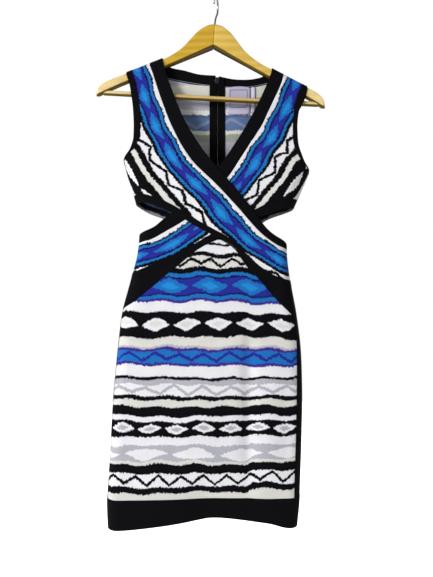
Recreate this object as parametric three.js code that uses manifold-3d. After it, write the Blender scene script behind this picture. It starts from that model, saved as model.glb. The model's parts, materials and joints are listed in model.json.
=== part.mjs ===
// A sleeveless knitted bodycon dress with a crossed front and cut-out sides, hung on a wooden hanger.
// Millimetres, +Z up, the front faces -Y. The origin is the point where the hook hangs from a rail.
// Every cloth piece is a wall raised from one body surface, which a distance s round the body and a
// height q along the cloth give. s is 0 at the middle of the front and grows towards the viewer's right.
import * as THREE from 'three';
import { mergeVertices } from 'three/addons/utils/BufferGeometryUtils.js';
import Module from 'manifold-3d';

const wasm = await Module();
wasm.setup();

// Cloth and seams
const PANEL_WALL = 1.6;
const TRIM_WALL = 2.0;
const TAPE_WALL = 1.0;
const SEAM_GAP = 0.3;
const LAYER_LIFT = TRIM_WALL + SEAM_GAP;
const STRIP_BACK = 45;

// Hanger
const HANGER_TILT = THREE.MathUtils.degToRad(3.1);
const ARM_THICK = 14;
const ARM_CENTRE_THICK = 20;
const ARM_CORNER = 4;
const ARM_CLEAR = 0.5;
const ARM_TIP_X = 215.5;
const ARM_SWEEP = 5.5;
const ARM_SWEEP_AT = 200;
const SHOULDER_X = 90;
const SHOULDER_Z = -125.9;
const SHOULDER_SLOPE = 0.47;
const BAR_R = 4.75;
const BAR_Z = -197.4;
const BAR_HALF = 203;
const WIRE_R = 1.75;
const HOOK_INNER_R = 17;
const HOOK_TURN = THREE.MathUtils.degToRad(80);
const HOOK_FOOT_Z = -84;
const HOOK_NECK_Z = -52;

// Zip at the middle of the back
const ZIP_OFF = 1.5;
const ZIP_GAP = 6;
const ZIP_TOP = -153.5;
const ZIP_END = -556;
const TAPE_WIDE = 15;
const CHAIN_WIDE = 5;

// Heights that several pieces share: the hem band's top at mid-front and its rise to each side
const HEM_TOP = -946.6;
const HEM_TOP_RISE = 2.6;
const STRIP_TOP = { left: -470.5, right: -485 };

// Top outline of a hanger arm, from the middle to the tip
const ARM_TOP = [
  { x: 0, z: -57.5 },
  { x: 9, z: -58.6 },
  { x: 18, z: -62.4 },
  { x: 31, z: -71.8 },
  { x: 44, z: -86.5 },
  { x: 57, z: -101.8 },
  { x: 72, z: -114.4 },
  { x: SHOULDER_X, z: SHOULDER_Z },
  { x: 130, z: SHOULDER_Z - SHOULDER_SLOPE * 40 },
  { x: 174, z: SHOULDER_Z - SHOULDER_SLOPE * 84 },
  { x: 190, z: -172.8 },
  { x: 202, z: -179.6 },
  { x: 210, z: -187.2 },
  { x: 214, z: -194.5 },
  { x: ARM_TIP_X, z: -200 },
];

// Underside of a hanger arm
const ARM_LOW = [
  { x: 0, z: -98.9 },
  { x: 98, z: -147.2 },
  { x: 167, z: -180 },
  { x: 186, z: -190 },
  { x: 200, z: -197.7 },
  { x: 210, z: -203.5 },
  { x: ARM_TIP_X, z: -205 },
];

// The body surface in rings: the sides' places and half the depth from front to back
const RINGS = [
  { z: -100, left: -178, right: 178, depth: 8 },
  { z: -150, left: -178, right: 178, depth: 10 },
  { z: -200, left: -178, right: 178, depth: 15.5 },
  { z: -250, left: -178, right: 178, depth: 21.5 },
  { z: -300, left: -177, right: 178, depth: 26 },
  { z: -317, left: -173.5, right: 176.5, depth: 27 },
  { z: -340, left: -168, right: 172.5, depth: 27 },
  { z: -377, left: -156, right: 157, depth: 26 },
  { z: -408, left: -148.2, right: 143.5, depth: 22 },
  { z: -455, left: -144.6, right: 131.8, depth: 17 },
  { z: -475, left: -146.2, right: 131.5, depth: 16.5 },
  { z: -501, left: -150.5, right: 133, depth: 17.5 },
  { z: -531, left: -158.5, right: 136.8, depth: 19.5 },
  { z: -567, left: -168.5, right: 143.4, depth: 22 },
  { z: -600, left: -177, right: 149.5, depth: 24 },
  { z: -661, left: -184.7, right: 157.5, depth: 26 },
  { z: -717, left: -190.2, right: 160.3, depth: 27 },
  { z: -778, left: -195.4, right: 160.9, depth: 27 },
  { z: -864, left: -200, right: 159, depth: 26 },
  { z: -925, left: -204, right: 156.8, depth: 24 },
  { z: -960, left: -205.8, right: 155.6, depth: 23 },
  { z: -1010, left: -204, right: 150.5, depth: 22 },
];

// Soft folds: a line on one face, how wide and how deep; a negative depth is a ridge
const FOLDS = [
  { face: 'front', x1: 62, z1: -560, x2: 60, z2: -1010, wide: 13, deep: 6.5 },
  { face: 'front', x1: 40, z1: -600, x2: 37, z2: -980, wide: 15, deep: -2.6 },
  { face: 'front', x1: 104, z1: -640, x2: 100, z2: -1000, wide: 18, deep: -2.4 },
  { face: 'front', x1: -10, z1: -880, x2: -14, z2: -1080, wide: 52, deep: 8 },
  { face: 'front', x1: -78, z1: -620, x2: -92, z2: -920, wide: 28, deep: 2.2 },
  { face: 'front', x1: -150, z1: -640, x2: -168, z2: -960, wide: 20, deep: 1.8 },
  { face: 'front', x1: -120, z1: -330, x2: -60, z2: -392, wide: 14, deep: 1.8 },
  { face: 'front', x1: 128, z1: -340, x2: 70, z2: -400, wide: 14, deep: 1.8 },
  { face: 'back', x1: -70, z1: -540, x2: -84, z2: -1010, wide: 17, deep: 4.5 },
  { face: 'back', x1: 66, z1: -600, x2: 74, z2: -980, wide: 20, deep: 3.2 },
  { face: 'back', x1: 112, z1: -660, x2: 116, z2: -930, wide: 16, deep: 1.8 },
  { face: 'back', x1: -96, z1: -250, x2: -40, z2: -392, wide: 16, deep: 2 },
  { face: 'back', x1: 104, z1: -262, x2: 46, z2: -400, wide: 18, deep: 1.8 },
];

// Outlines. x and z are places on the front or back face; x 'left' or 'right' is the side of the body,
// and z 'seam' is the shoulder seam on top of the hanger.
// Front piece that starts at the viewer's left shoulder and lies on top: its neck and outer seams
const OVER_ROWS = [
  { neckX: -125, neckZ: 'seam', outX: -157, outZ: 'seam' },
  { neckX: -120, neckZ: -150, outX: -152, outZ: -168 },
  { neckX: -113, neckZ: -172, outX: -147.9, outZ: -188 },
  { neckX: -104, neckZ: -199, outX: -143.5, outZ: -212 },
  { neckX: -95, neckZ: -224, outX: -141.5, outZ: -238 },
  { neckX: -85.5, neckZ: -248, outX: -142, outZ: -268 },
  { neckX: -76, neckZ: -268, outX: -150.5, outZ: -295 },
  { neckX: -73, neckZ: -274, outX: -162.5, outZ: -307 },
  { neckX: -70, neckZ: -280, outX: -171.5, outZ: -316 },
  { neckX: -67, neckZ: -286, outX: 'left', outZ: -323 },
  { neckX: -57, neckZ: -302, outX: 'left', outZ: -350 },
  { neckX: -46, neckZ: -318, outX: 'left', outZ: -382 },
  { neckX: -42, neckZ: -322.5, outX: -151.5, outZ: -380.5 },
  { neckX: -38.5, neckZ: -326.5, outX: -142.5, outZ: -380 },
  { neckX: -35, neckZ: -330.5, outX: -131, outZ: -381.5 },
  { neckX: -22, neckZ: -343, outX: -110, outZ: -388 },
  { neckX: -8, neckZ: -356, outX: -88, outZ: -397.2 },
  { neckX: 7, neckZ: -371, outX: -62, outZ: -411.5 },
  { neckX: 20, neckZ: -384.4, outX: -35, outZ: -428.6 },
  { neckX: 34, neckZ: -399, outX: -8, outZ: -443.4 },
  { neckX: 47, neckZ: -413.3, outX: 17, outZ: -456.8 },
  { neckX: 60, neckZ: -428.5, outX: 38, outZ: -470.5 },
  { neckX: 72, neckZ: -441.5, outX: 56, outZ: -491 },
  { neckX: 85, neckZ: -454, outX: 76, outZ: -510 },
  { neckX: 100, neckZ: -466, outX: 98, outZ: -526 },
  { neckX: 115, neckZ: -475.5, outX: 119, outZ: -536 },
  { neckX: 122, neckZ: -478.5, outX: 128, outZ: -538.5 },
  { neckX: 128, neckZ: -481, outX: 134.5, outZ: -540 },
  { neckX: 'right', neckZ: -483, outX: 'right', outZ: -541 },
];

// Front piece that starts at the viewer's right shoulder and passes beneath
const UNDER_ROWS = [
  { neckX: 125.5, neckZ: 'seam', outX: 159, outZ: 'seam' },
  { neckX: 119, neckZ: -177, outX: 151.5, outZ: -194 },
  { neckX: 111, neckZ: -194.5, outX: 146.5, outZ: -213 },
  { neckX: 102.7, neckZ: -212.2, outX: 143, outZ: -238 },
  { neckX: 93.5, neckZ: -232.5, outX: 141.5, outZ: -262 },
  { neckX: 84, neckZ: -253, outX: 143, outZ: -289 },
  { neckX: 74, neckZ: -269, outX: 153.5, outZ: -315 },
  { neckX: 71, neckZ: -274, outX: 163, outZ: -325.5 },
  { neckX: 67.5, neckZ: -279, outX: 170.5, outZ: -335 },
  { neckX: 64, neckZ: -284, outX: 'right', outZ: -343 },
  { neckX: 54, neckZ: -300, outX: 'right', outZ: -366 },
  { neckX: 43, neckZ: -317, outX: 'right', outZ: -389 },
  { neckX: 39.5, neckZ: -322.5, outX: 148, outZ: -388.5 },
  { neckX: 36.5, neckZ: -327.5, outX: 138, outZ: -389 },
  { neckX: 33, neckZ: -333, outX: 120, outZ: -391.5 },
  { neckX: 21.8, neckZ: -349, outX: 97, outZ: -397 },
  { neckX: 8, neckZ: -364, outX: 76, outZ: -407 },
  { neckX: -8, neckZ: -381, outX: 54, outZ: -418 },
  { neckX: -24, neckZ: -396.5, outX: 32, outZ: -430 },
  { neckX: -41, neckZ: -412, outX: 10, outZ: -442 },
  { neckX: -58.3, neckZ: -427.5, outX: -14, outZ: -456.5 },
  { neckX: -74, neckZ: -437.5, outX: -40, outZ: -471.8 },
  { neckX: -90, neckZ: -446.5, outX: -66, outZ: -485.5 },
  { neckX: -106, neckZ: -455.5, outX: -93, outZ: -498.5 },
  { neckX: -122, neckZ: -464, outX: -121, outZ: -511.5 },
  { neckX: -133, neckZ: -467, outX: -135, outZ: -517.5 },
  { neckX: -141.5, neckZ: -469.3, outX: -147, outZ: -522.5 },
  { neckX: 'left', neckZ: -470.5, outX: 'left', outZ: -526 },
];

// Free edge of each neckline trim, which runs on as the lower edge of the far cut-out
const OVER_NECK_EDGE = [
  { x: -101, z: 'seam' },
  { x: -95.1, z: -150.8 },
  { x: -86.9, z: -173 },
  { x: -72.7, z: -211.5 },
  { x: -56.6, z: -247.9 },
  { x: -36.4, z: -282.1 },
  { x: -16.1, z: -310.7 },
  { x: 2, z: -333 },
  { x: 22.4, z: -356 },
  { x: 45.7, z: -382.6 },
  { x: 66, z: -407 },
  { x: 83.8, z: -432 },
  { x: 101.4, z: -450.5 },
  { x: 'right', z: -474.5 },
];
const UNDER_NECK_EDGE = [
  { x: 103.9, z: 'seam' },
  { x: 98.8, z: -160.9 },
  { x: 82.6, z: -199.3 },
  { x: 62.4, z: -239.9 },
  { x: 40, z: -278.4 },
  { x: 14.8, z: -316.8 },
  { x: -10, z: -346 },
  { x: -38, z: -375 },
  { x: -62, z: -398 },
  { x: -83.1, z: -415.1 },
  { x: -99.5, z: -427 },
  { x: -117.3, z: -441 },
  { x: 'left', z: -456.5 },
];

// Free edge of each armhole trim, front half, from the shoulder to the underarm
const ARMHOLE_LEFT = [
  { x: -169, z: 'seam' },
  { x: -163.5, z: -172 },
  { x: -160.4, z: -190 },
  { x: -156.5, z: -215 },
  { x: -154.2, z: -240 },
  { x: -153.5, z: -262 },
  { x: -155, z: -283 },
  { x: -163, z: -302 },
  { x: 'left', z: -317 },
];
const ARMHOLE_RIGHT = [
  { x: 170, z: 'seam' },
  { x: 164.3, z: -204 },
  { x: 155.5, z: -220 },
  { x: 151, z: -245 },
  { x: 150.2, z: -268 },
  { x: 152, z: -291 },
  { x: 158.5, z: -311 },
  { x: 165, z: -324 },
  { x: 'right', z: -337 },
];

// Free edge of the trim below each front piece, from the side of the bust to the other side's waist
const OVER_HEM_EDGE = [
  { x: 'left', z: -398 },
  { x: -131, z: -396 },
  { x: -108, z: -404 },
  { x: -83, z: -415 },
  { x: -58.5, z: -427.6 },
  { x: -39.3, z: -439 },
  { x: -11.7, z: -453.7 },
  { x: 3.1, z: -461.1 },
  { x: 29.8, z: -475 },
  { x: 46, z: -493.5 },
  { x: 66, z: -514.5 },
  { x: 90, z: -534 },
  { x: 115, z: -548 },
  { x: 'right', z: -554 },
];
const UNDER_HEM_EDGE = [
  { x: 'right', z: -404 },
  { x: 124, z: -407.5 },
  { x: 101, z: -416 },
  { x: 78.7, z: -423.3 },
  { x: 58, z: -432 },
  { x: 34, z: -444.5 },
  { x: 14, z: -455 },
  { x: -12, z: -469 },
  { x: -37, z: -484 },
  { x: -62, z: -498 },
  { x: -90, z: -511.5 },
  { x: -120, z: -524.5 },
  { x: 'left', z: -539 },
];

// Sides of the patterned middle of the skirt's front, from its peak to the hem band
const SKIRT_ROWS = [
  { z: -465, leftX: 1.5, rightX: 7 },
  { z: -473, leftX: -16.5, rightX: 22 },
  { z: -485, leftX: -37, rightX: 36 },
  { z: -501, leftX: -57, rightX: 46.5 },
  { z: -517, leftX: -75.9, rightX: 58 },
  { z: -533.4, leftX: -96.7, rightX: 74 },
  { z: -549, leftX: -115, rightX: 88 },
  { z: -566, leftX: -135.2, rightX: 102 },
  { z: -582, leftX: -155, rightX: 116.5 },
  { z: -598, leftX: -175.2, rightX: 132.5 },
  { z: -613, leftX: -177.3, rightX: 144.5 },
  { z: -640, leftX: -179.9, rightX: 147 },
  { z: -690, leftX: -185.6, rightX: 148.5 },
  { z: -740, leftX: -190.2, rightX: 148.3 },
  { z: -790, leftX: -194, rightX: 147.6 },
  { z: -840, leftX: -196.9, rightX: 146.6 },
  { z: -890, leftX: -199.9, rightX: 145 },
  { z: 'hemTop', leftX: -202.9, rightX: 143.9 },
];

// Plain black yokes between the front trims and the patterned middle: where each skirt row meets the trim
const YOKE_FIRST_ROW = 2;
const YOKE_CLEAR = 0.6;
const YOKE_LEFT = [-38.5, -60, -77, -94, -110, -127, -144, 'left'];
const YOKE_RIGHT = [38.5, 50, 64, 81, 94, 108, 122, 134, 'right'];

// Back halves: the neck or zip side, and the armhole, side and cut-out side. 'strip' is the side strip
const BACK_LEFT_ROWS = [
  { inX: -125, inZ: 'seam', outX: -157, outZ: 'seam' },
  { inX: -117, inZ: -143, outX: -152, outZ: -168 },
  { inX: -104, inZ: -152, outX: -147, outZ: -190 },
  { inX: -80, inZ: -158.5, outX: -143, outZ: -214 },
  { inX: -45, inZ: -164.5, outX: -141.5, outZ: -240 },
  { inX: 'zip', inZ: -170, outX: -142, outZ: -266 },
  { inX: 'zip', inZ: -200, outX: -151, outZ: -296 },
  { inX: 'zip', inZ: -213, outX: -162.5, outZ: -307 },
  { inX: 'zip', inZ: -226, outX: -171.5, outZ: -316 },
  { inX: 'zip', inZ: -240, outX: 'left', outZ: -323 },
  { inX: 'zip', inZ: -280, outX: 'left', outZ: -342 },
  { inX: 'zip', inZ: -318, outX: 'left', outZ: -362 },
  { inX: 'zip', inZ: -346, outX: 'left', outZ: -382 },
  { inX: 'zip', inZ: -354, outX: -149.5, outZ: -385.5 },
  { inX: 'zip', inZ: -361, outX: -140, outZ: -390 },
  { inX: 'zip', inZ: -368, outX: -122, outZ: -398 },
  { inX: 'zip', inZ: -386, outX: -96, outZ: -406 },
  { inX: 'zip', inZ: -404, outX: -78, outZ: -416 },
  { inX: 'zip', inZ: -422, outX: -69, outZ: -429 },
  { inX: 'zip', inZ: -440, outX: -70, outZ: -443 },
  { inX: 'zip', inZ: -455, outX: -84, outZ: -457 },
  { inX: 'zip', inZ: -470, outX: 'strip', outZ: -468 },
  { inX: 'zip', inZ: -490, outX: 'strip', outZ: -490 },
  { inX: 'zip', inZ: -520, outX: 'strip', outZ: -520 },
  { inX: 'zip', inZ: -556, outX: 'strip', outZ: -556 },
  { inX: 'zip', inZ: -598, outX: 'strip', outZ: -598 },
  { inX: 'zip', inZ: -640, outX: 'strip', outZ: -640 },
  { inX: 'zip', inZ: -690, outX: 'strip', outZ: -690 },
  { inX: 'zip', inZ: -740, outX: 'strip', outZ: -740 },
  { inX: 'zip', inZ: -790, outX: 'strip', outZ: -790 },
  { inX: 'zip', inZ: -840, outX: 'strip', outZ: -840 },
  { inX: 'zip', inZ: -890, outX: 'strip', outZ: -890 },
  { inX: 'zip', inZ: 'hemTop', outX: 'strip', outZ: 'hemTop' },
];
const BACK_RIGHT_ROWS = [
  { inX: 125.5, inZ: 'seam', outX: 159, outZ: 'seam' },
  { inX: 117, inZ: -156, outX: 151.5, outZ: -192 },
  { inX: 103, inZ: -163, outX: 146.5, outZ: -214 },
  { inX: 80, inZ: -169, outX: 143, outZ: -238 },
  { inX: 45, inZ: -172.5, outX: 141.4, outZ: -262 },
  { inX: 'zip', inZ: -170, outX: 143, outZ: -289 },
  { inX: 'zip', inZ: -200, outX: 153.5, outZ: -315 },
  { inX: 'zip', inZ: -213, outX: 163, outZ: -325.5 },
  { inX: 'zip', inZ: -226, outX: 170.5, outZ: -335 },
  { inX: 'zip', inZ: -240, outX: 'right', outZ: -343 },
  { inX: 'zip', inZ: -280, outX: 'right', outZ: -358 },
  { inX: 'zip', inZ: -318, outX: 'right', outZ: -373 },
  { inX: 'zip', inZ: -346, outX: 'right', outZ: -389 },
  { inX: 'zip', inZ: -354, outX: 147, outZ: -391.5 },
  { inX: 'zip', inZ: -361, outX: 138, outZ: -394.5 },
  { inX: 'zip', inZ: -368, outX: 122, outZ: -398 },
  { inX: 'zip', inZ: -386, outX: 96, outZ: -407 },
  { inX: 'zip', inZ: -404, outX: 80, outZ: -417 },
  { inX: 'zip', inZ: -422, outX: 71, outZ: -430 },
  { inX: 'zip', inZ: -440, outX: 71, outZ: -446 },
  { inX: 'zip', inZ: -455, outX: 82, outZ: -462 },
  { inX: 'zip', inZ: -470, outX: 'strip', outZ: -476 },
  { inX: 'zip', inZ: -490, outX: 'strip', outZ: -492 },
  { inX: 'zip', inZ: -520, outX: 'strip', outZ: -520 },
  { inX: 'zip', inZ: -556, outX: 'strip', outZ: -556 },
  { inX: 'zip', inZ: -598, outX: 'strip', outZ: -598 },
  { inX: 'zip', inZ: -640, outX: 'strip', outZ: -640 },
  { inX: 'zip', inZ: -690, outX: 'strip', outZ: -690 },
  { inX: 'zip', inZ: -740, outX: 'strip', outZ: -740 },
  { inX: 'zip', inZ: -790, outX: 'strip', outZ: -790 },
  { inX: 'zip', inZ: -840, outX: 'strip', outZ: -840 },
  { inX: 'zip', inZ: -890, outX: 'strip', outZ: -890 },
  { inX: 'zip', inZ: 'hemTop', outX: 'strip', outZ: 'hemTop' },
];

// Back neckline trim: its free edge, matched with the first six rows of each back half
const BACK_NECK_LEFT = [
  { x: -101, z: 'seam' },
  { x: -95, z: -130 },
  { x: -82, z: -134.5 },
  { x: -62, z: -138.2 },
  { x: -34, z: -145.2 },
  { x: 'zip', z: -147.6 },
];
const BACK_NECK_RIGHT = [
  { x: 103.9, z: 'seam' },
  { x: 97, z: -146 },
  { x: 84, z: -152 },
  { x: 62, z: -155.5 },
  { x: 32, z: -154.5 },
  { x: 'zip', z: -148.8 },
];

// Free edge of each back cut-out, matched with the back half's rows from the bust's side to the waist
const CUTOUT_LEFT = [
  { x: 'left', z: -398 },
  { x: -147, z: -400.5 },
  { x: -140, z: -405 },
  { x: -127, z: -412 },
  { x: -105, z: -420 },
  { x: -90, z: -427 },
  { x: -83.5, z: -434 },
  { x: -84.5, z: -441 },
  { x: -95, z: -449 },
  { x: 'strip', z: -455 },
  { x: 'left', z: -456.5 },
];
const CUTOUT_RIGHT = [
  { x: 'right', z: -404 },
  { x: 143.5, z: -406 },
  { x: 136, z: -409 },
  { x: 126, z: -412.5 },
  { x: 105, z: -420 },
  { x: 91, z: -427.5 },
  { x: 85.5, z: -435 },
  { x: 86, z: -443 },
  { x: 94, z: -453 },
  { x: 'strip', z: -464 },
  { x: 'right', z: -474.5 },
];
const CUTOUT_FIRST_ROW = 12;

// Lower edge of the hem band, across the front and across the back
const HEM_FRONT = [
  { x: 'left', z: -1007 },
  { x: -170, z: -1005 },
  { x: -126, z: -1000.5 },
  { x: -72, z: -993.5 },
  { x: -33, z: -987.5 },
  { x: -12, z: -984.5 },
  { x: 24, z: -984.5 },
  { x: 65, z: -988 },
  { x: 100, z: -992.5 },
  { x: 127, z: -999.5 },
  { x: 'right', z: -1004 },
];
const HEM_BACK = [
  { x: 'right', z: -1004 },
  { x: 100, z: -997 },
  { x: 40, z: -992 },
  { x: -30, z: -992 },
  { x: -100, z: -996.5 },
  { x: -165, z: -1004 },
  { x: 'left', z: -1007 },
];

// Small helpers
const smooth = (t) => {
  const c = Math.min(1, Math.max(0, t));
  return c * c * (3 - 2 * c);
};
const mix = (a, b, t) => a + (b - a) * t;

// Reads column `key` of a table at x, with a smooth curve through its rows; `by` names the rows' own column
function track(table, by, key) {
  const up = table[0][by] < table[table.length - 1][by];
  const rows = up ? table : [...table].reverse();
  const n = rows.length;
  const slope = rows.map((row, i) => {
    const a = rows[Math.max(0, i - 1)];
    const b = rows[Math.min(n - 1, i + 1)];
    return (b[key] - a[key]) / (b[by] - a[by]);
  });
  return (at) => {
    const v = Math.min(rows[n - 1][by], Math.max(rows[0][by], at));
    let i = 0;
    while (i < n - 2 && rows[i + 1][by] < v) i += 1;
    const h = rows[i + 1][by] - rows[i][by];
    const t = (v - rows[i][by]) / h;
    const t2 = t * t;
    const t3 = t2 * t;
    return (2 * t3 - 3 * t2 + 1) * rows[i][key] + (t3 - 2 * t2 + t) * h * slope[i]
      + (3 * t2 - 2 * t3) * rows[i + 1][key] + (t3 - t2) * h * slope[i + 1];
  };
}

// The straight line between a table's rows
function straight(table, by, key, at) {
  let i = 0;
  while (i < table.length - 2 && table[i + 1][by] < at) i += 1;
  const t = (at - table[i][by]) / (table[i + 1][by] - table[i][by]);
  return mix(table[i][key], table[i + 1][key], t);
}

// The body surface
const leftAt = track(RINGS, 'z', 'left');
const rightAt = track(RINGS, 'z', 'right');
const depthAt = track(RINGS, 'z', 'depth');

function ringAt(z) {
  const left = leftAt(z);
  const right = rightAt(z);
  const depth = depthAt(z);
  const half = (right - left) / 2;
  const flat = half - depth;
  return { middle: (left + right) / 2, half, depth, flat, quarter: flat + depth * Math.PI / 2 };
}

// Where the arm's top line lies, in the hanger's own frame
function shoulderLine(x) {
  const a = Math.abs(x);
  if (a >= SHOULDER_X) return SHOULDER_Z - SHOULDER_SLOPE * (a - SHOULDER_X);
  return SHOULDER_Z + SHOULDER_SLOPE * (SHOULDER_X * SHOULDER_X - a * a) / (2 * SHOULDER_X);
}
const armSweep = (x) => -ARM_SWEEP * (x / ARM_SWEEP_AT) ** 2;

// The crest that the straps lie over, at a place x of the row frame
function crestAt(x) {
  const c = Math.cos(HANGER_TILT);
  const s = Math.sin(HANGER_TILT);
  let along = x;
  for (let i = 0; i < 6; i += 1) along = (x - shoulderLine(along) * s) / c;
  return { z: -along * s + shoulderLine(along) * c + ARM_CLEAR, shift: armSweep(along) };
}
const CREST_R = ARM_CORNER + ARM_CLEAR;
const CREST_FLAT = ARM_THICK / 2 - ARM_CORNER;
const CREST_DEEP = CREST_FLAT + CREST_R;
const CREST_FALL = 110;
const CREST_ARC = CREST_R * Math.PI / 2;
const seamHeight = (x) => crestAt(x).z - CREST_R + CREST_ARC + CREST_FLAT;

function foldDepth(face, x, z) {
  let deep = 0;
  for (const f of FOLDS) {
    if (f.face !== face) continue;
    const dx = f.x2 - f.x1;
    const dz = f.z2 - f.z1;
    const long2 = dx * dx + dz * dz;
    const t = ((x - f.x1) * dx + (z - f.z1) * dz) / long2;
    if (t <= 0 || t >= 1) continue;
    const off = ((x - f.x1) * dz - (z - f.z1) * dx) / Math.sqrt(long2) / f.wide;
    deep += f.deep * Math.sin(Math.PI * t) ** 1.2 * Math.exp(-off * off);
  }
  return deep;
}

// The point of the body surface at s round the body and q up the cloth
function bodyPoint(s, q) {
  const way = s < 0 ? -1 : 1;
  const a = Math.abs(s);
  const ring = ringAt(q);
  const front = a < ring.quarter;
  const facing = front ? -1 : 1;
  const turnEnd = ring.flat + Math.PI * ring.depth;
  let x;
  let turned = facing;
  if (a <= ring.flat) {
    x = ring.middle + way * a;
  } else if (a < turnEnd) {
    const phi = (a - ring.flat) / ring.depth;
    x = ring.middle + way * (ring.flat + ring.depth * Math.sin(phi));
    turned = -Math.cos(phi);
  } else {
    x = ring.middle + way * (ring.flat - (a - turnEnd));
  }
  const crest = crestAt(x);
  const top = crest.z - CREST_R;
  if (q > top) {
    const e = q - top;
    if (e < CREST_ARC) {
      const angle = e / CREST_R;
      const y = facing * (CREST_FLAT + CREST_R * Math.cos(angle));
      return new THREE.Vector3(x, y + crest.shift, top + CREST_R * Math.sin(angle));
    }
    return new THREE.Vector3(x, facing * (CREST_DEEP - CREST_R - (e - CREST_ARC)) + crest.shift, crest.z);
  }
  const fall = smooth((top - q) / CREST_FALL);
  const fold = foldDepth(front ? 'front' : 'back', x, q) * Math.abs(turned) * fall;
  const y = turned * mix(CREST_DEEP, ring.depth, fall) - facing * fold;
  return new THREE.Vector3(x, y + crest.shift * (1 - fall), q);
}

const STEP = 0.25;
function bodyNormal(s, q) {
  const ds = bodyPoint(s + STEP, q).sub(bodyPoint(s - STEP, q));
  const dq = bodyPoint(s, q + STEP).sub(bodyPoint(s, q - STEP));
  return ds.cross(dq).normalize();
}

// The distance round the body of a place x on the front, and of one on the back
function frontS(x, z) {
  const ring = ringAt(z);
  const off = Math.min(ring.half, Math.abs(x - ring.middle));
  const way = x < ring.middle ? -1 : 1;
  if (off <= ring.flat) return way * off;
  return way * (ring.flat + ring.depth * Math.asin((off - ring.flat) / ring.depth));
}
function backS(x, z, way) {
  const ring = ringAt(z);
  const off = (x - ring.middle) * way;
  const whole = 2 * ring.quarter;
  if (off <= ring.flat) return way * (whole - off);
  const turn = ring.depth * Math.asin(Math.min(1, (off - ring.flat) / ring.depth));
  return way * (whole - ring.flat - turn);
}

// Pieces are ruled in (w, q): w is s over a quarter of the ring, so the side seams are at w = -1 and 1
const quarterAt = (q) => ringAt(q).quarter;
function hemTopAt(w) {
  const a = Math.abs(w);
  return HEM_TOP + HEM_TOP_RISE * Math.sign(w) * (a <= 1 ? a : 2 - a);
}

// Turns a table's place into (w, q). `face` is front or back, `way` is -1 on the left and 1 on the right
function place(face, way, x, z) {
  let q = z;
  if (z === 'seam') q = seamHeight(x);
  if (z === 'hemTop') q = HEM_TOP;
  const quarter = quarterAt(q);
  let w;
  if (x === 'left') w = -1;
  else if (x === 'right') w = 1;
  else if (x === 'strip') w = way * (1 + STRIP_BACK / quarter);
  else if (x === 'zip') w = way * (2 - (way * ZIP_OFF + (q < ZIP_END ? 0 : ZIP_GAP / 2)) / quarter);
  else w = (face === 'front' ? frontS(x, q) : backS(x, q, way)) / quarter;
  return { w, q: z === 'hemTop' ? hemTopAt(w) : q };
}
const blend = (a, b, u) => ({ w: mix(a.w, b.w, u), q: mix(a.q, b.q, u) });
function gap(a, b) {
  const quarter = quarterAt((a.q + b.q) / 2);
  return Math.hypot((b.w - a.w) * quarter, b.q - a.q);
}

// A curve through points, an equal share of t for each step between them
function alongPoints(points) {
  return (t) => {
    const f = Math.min(points.length - 1.000001, Math.max(0, t * (points.length - 1)));
    const i = Math.floor(f);
    return blend(points[i], points[i + 1], f - i);
  };
}

// Distances along a list of points, and the point at a share of their whole length
function lengths(points) {
  const far = [0];
  for (let i = 1; i < points.length; i += 1) far.push(far[i - 1] + gap(points[i - 1], points[i]));
  return far;
}
function evenly(points) {
  const far = lengths(points);
  return (t) => {
    const want = t * far[far.length - 1];
    let i = 1;
    while (i < points.length - 1 && far[i] < want) i += 1;
    return blend(points[i - 1], points[i], (want - far[i - 1]) / (far[i] - far[i - 1]));
  };
}

// The free edge of a trim, matched by length with the seam that it shares with its panel
function matched(edge, seam) {
  const far = lengths(seam);
  const at = evenly(edge);
  return (t) => {
    const f = Math.min(seam.length - 1.000001, Math.max(0, t * (seam.length - 1)));
    const i = Math.floor(f);
    return at(mix(far[i], far[i + 1], f - i) / far[far.length - 1]);
  };
}

// A closed solid from a grid of points and outward normals
function wallFromGrid(grid, wall) {
  const rows = grid.length;
  const cols = grid[0].length;
  const verts = [];
  for (const outer of [0, 1]) {
    for (const row of grid) {
      for (const g of row) {
        const p = g.point.clone().addScaledVector(g.normal, outer * wall);
        verts.push(p.x, p.y, p.z);
      }
    }
  }
  const at = (outer, i, j) => outer * rows * cols + i * cols + j;
  const faces = [];
  const quad = (a, b, c, d) => faces.push(a, b, c, a, c, d);
  for (let i = 0; i < rows - 1; i += 1) {
    for (let j = 0; j < cols - 1; j += 1) {
      quad(at(1, i, j), at(1, i + 1, j), at(1, i + 1, j + 1), at(1, i, j + 1));
      quad(at(0, i, j), at(0, i, j + 1), at(0, i + 1, j + 1), at(0, i + 1, j));
    }
  }
  for (let j = 0; j < cols - 1; j += 1) {
    quad(at(0, 0, j), at(1, 0, j), at(1, 0, j + 1), at(0, 0, j + 1));
    quad(at(0, rows - 1, j), at(0, rows - 1, j + 1), at(1, rows - 1, j + 1), at(1, rows - 1, j));
  }
  for (let i = 0; i < rows - 1; i += 1) {
    quad(at(0, i, 0), at(0, i + 1, 0), at(1, i + 1, 0), at(1, i, 0));
    quad(at(0, i, cols - 1), at(1, i, cols - 1), at(1, i + 1, cols - 1), at(0, i + 1, cols - 1));
  }
  return facedOut(verts, faces);
}

// Six times the volume that a list of triangles encloses
function signedVolume(verts, faces) {
  let sum = 0;
  const p = (k) => new THREE.Vector3(verts[3 * k], verts[3 * k + 1], verts[3 * k + 2]);
  for (let f = 0; f < faces.length; f += 3) {
    sum += p(faces[f]).dot(p(faces[f + 1]).cross(p(faces[f + 2])));
  }
  return sum;
}

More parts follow.
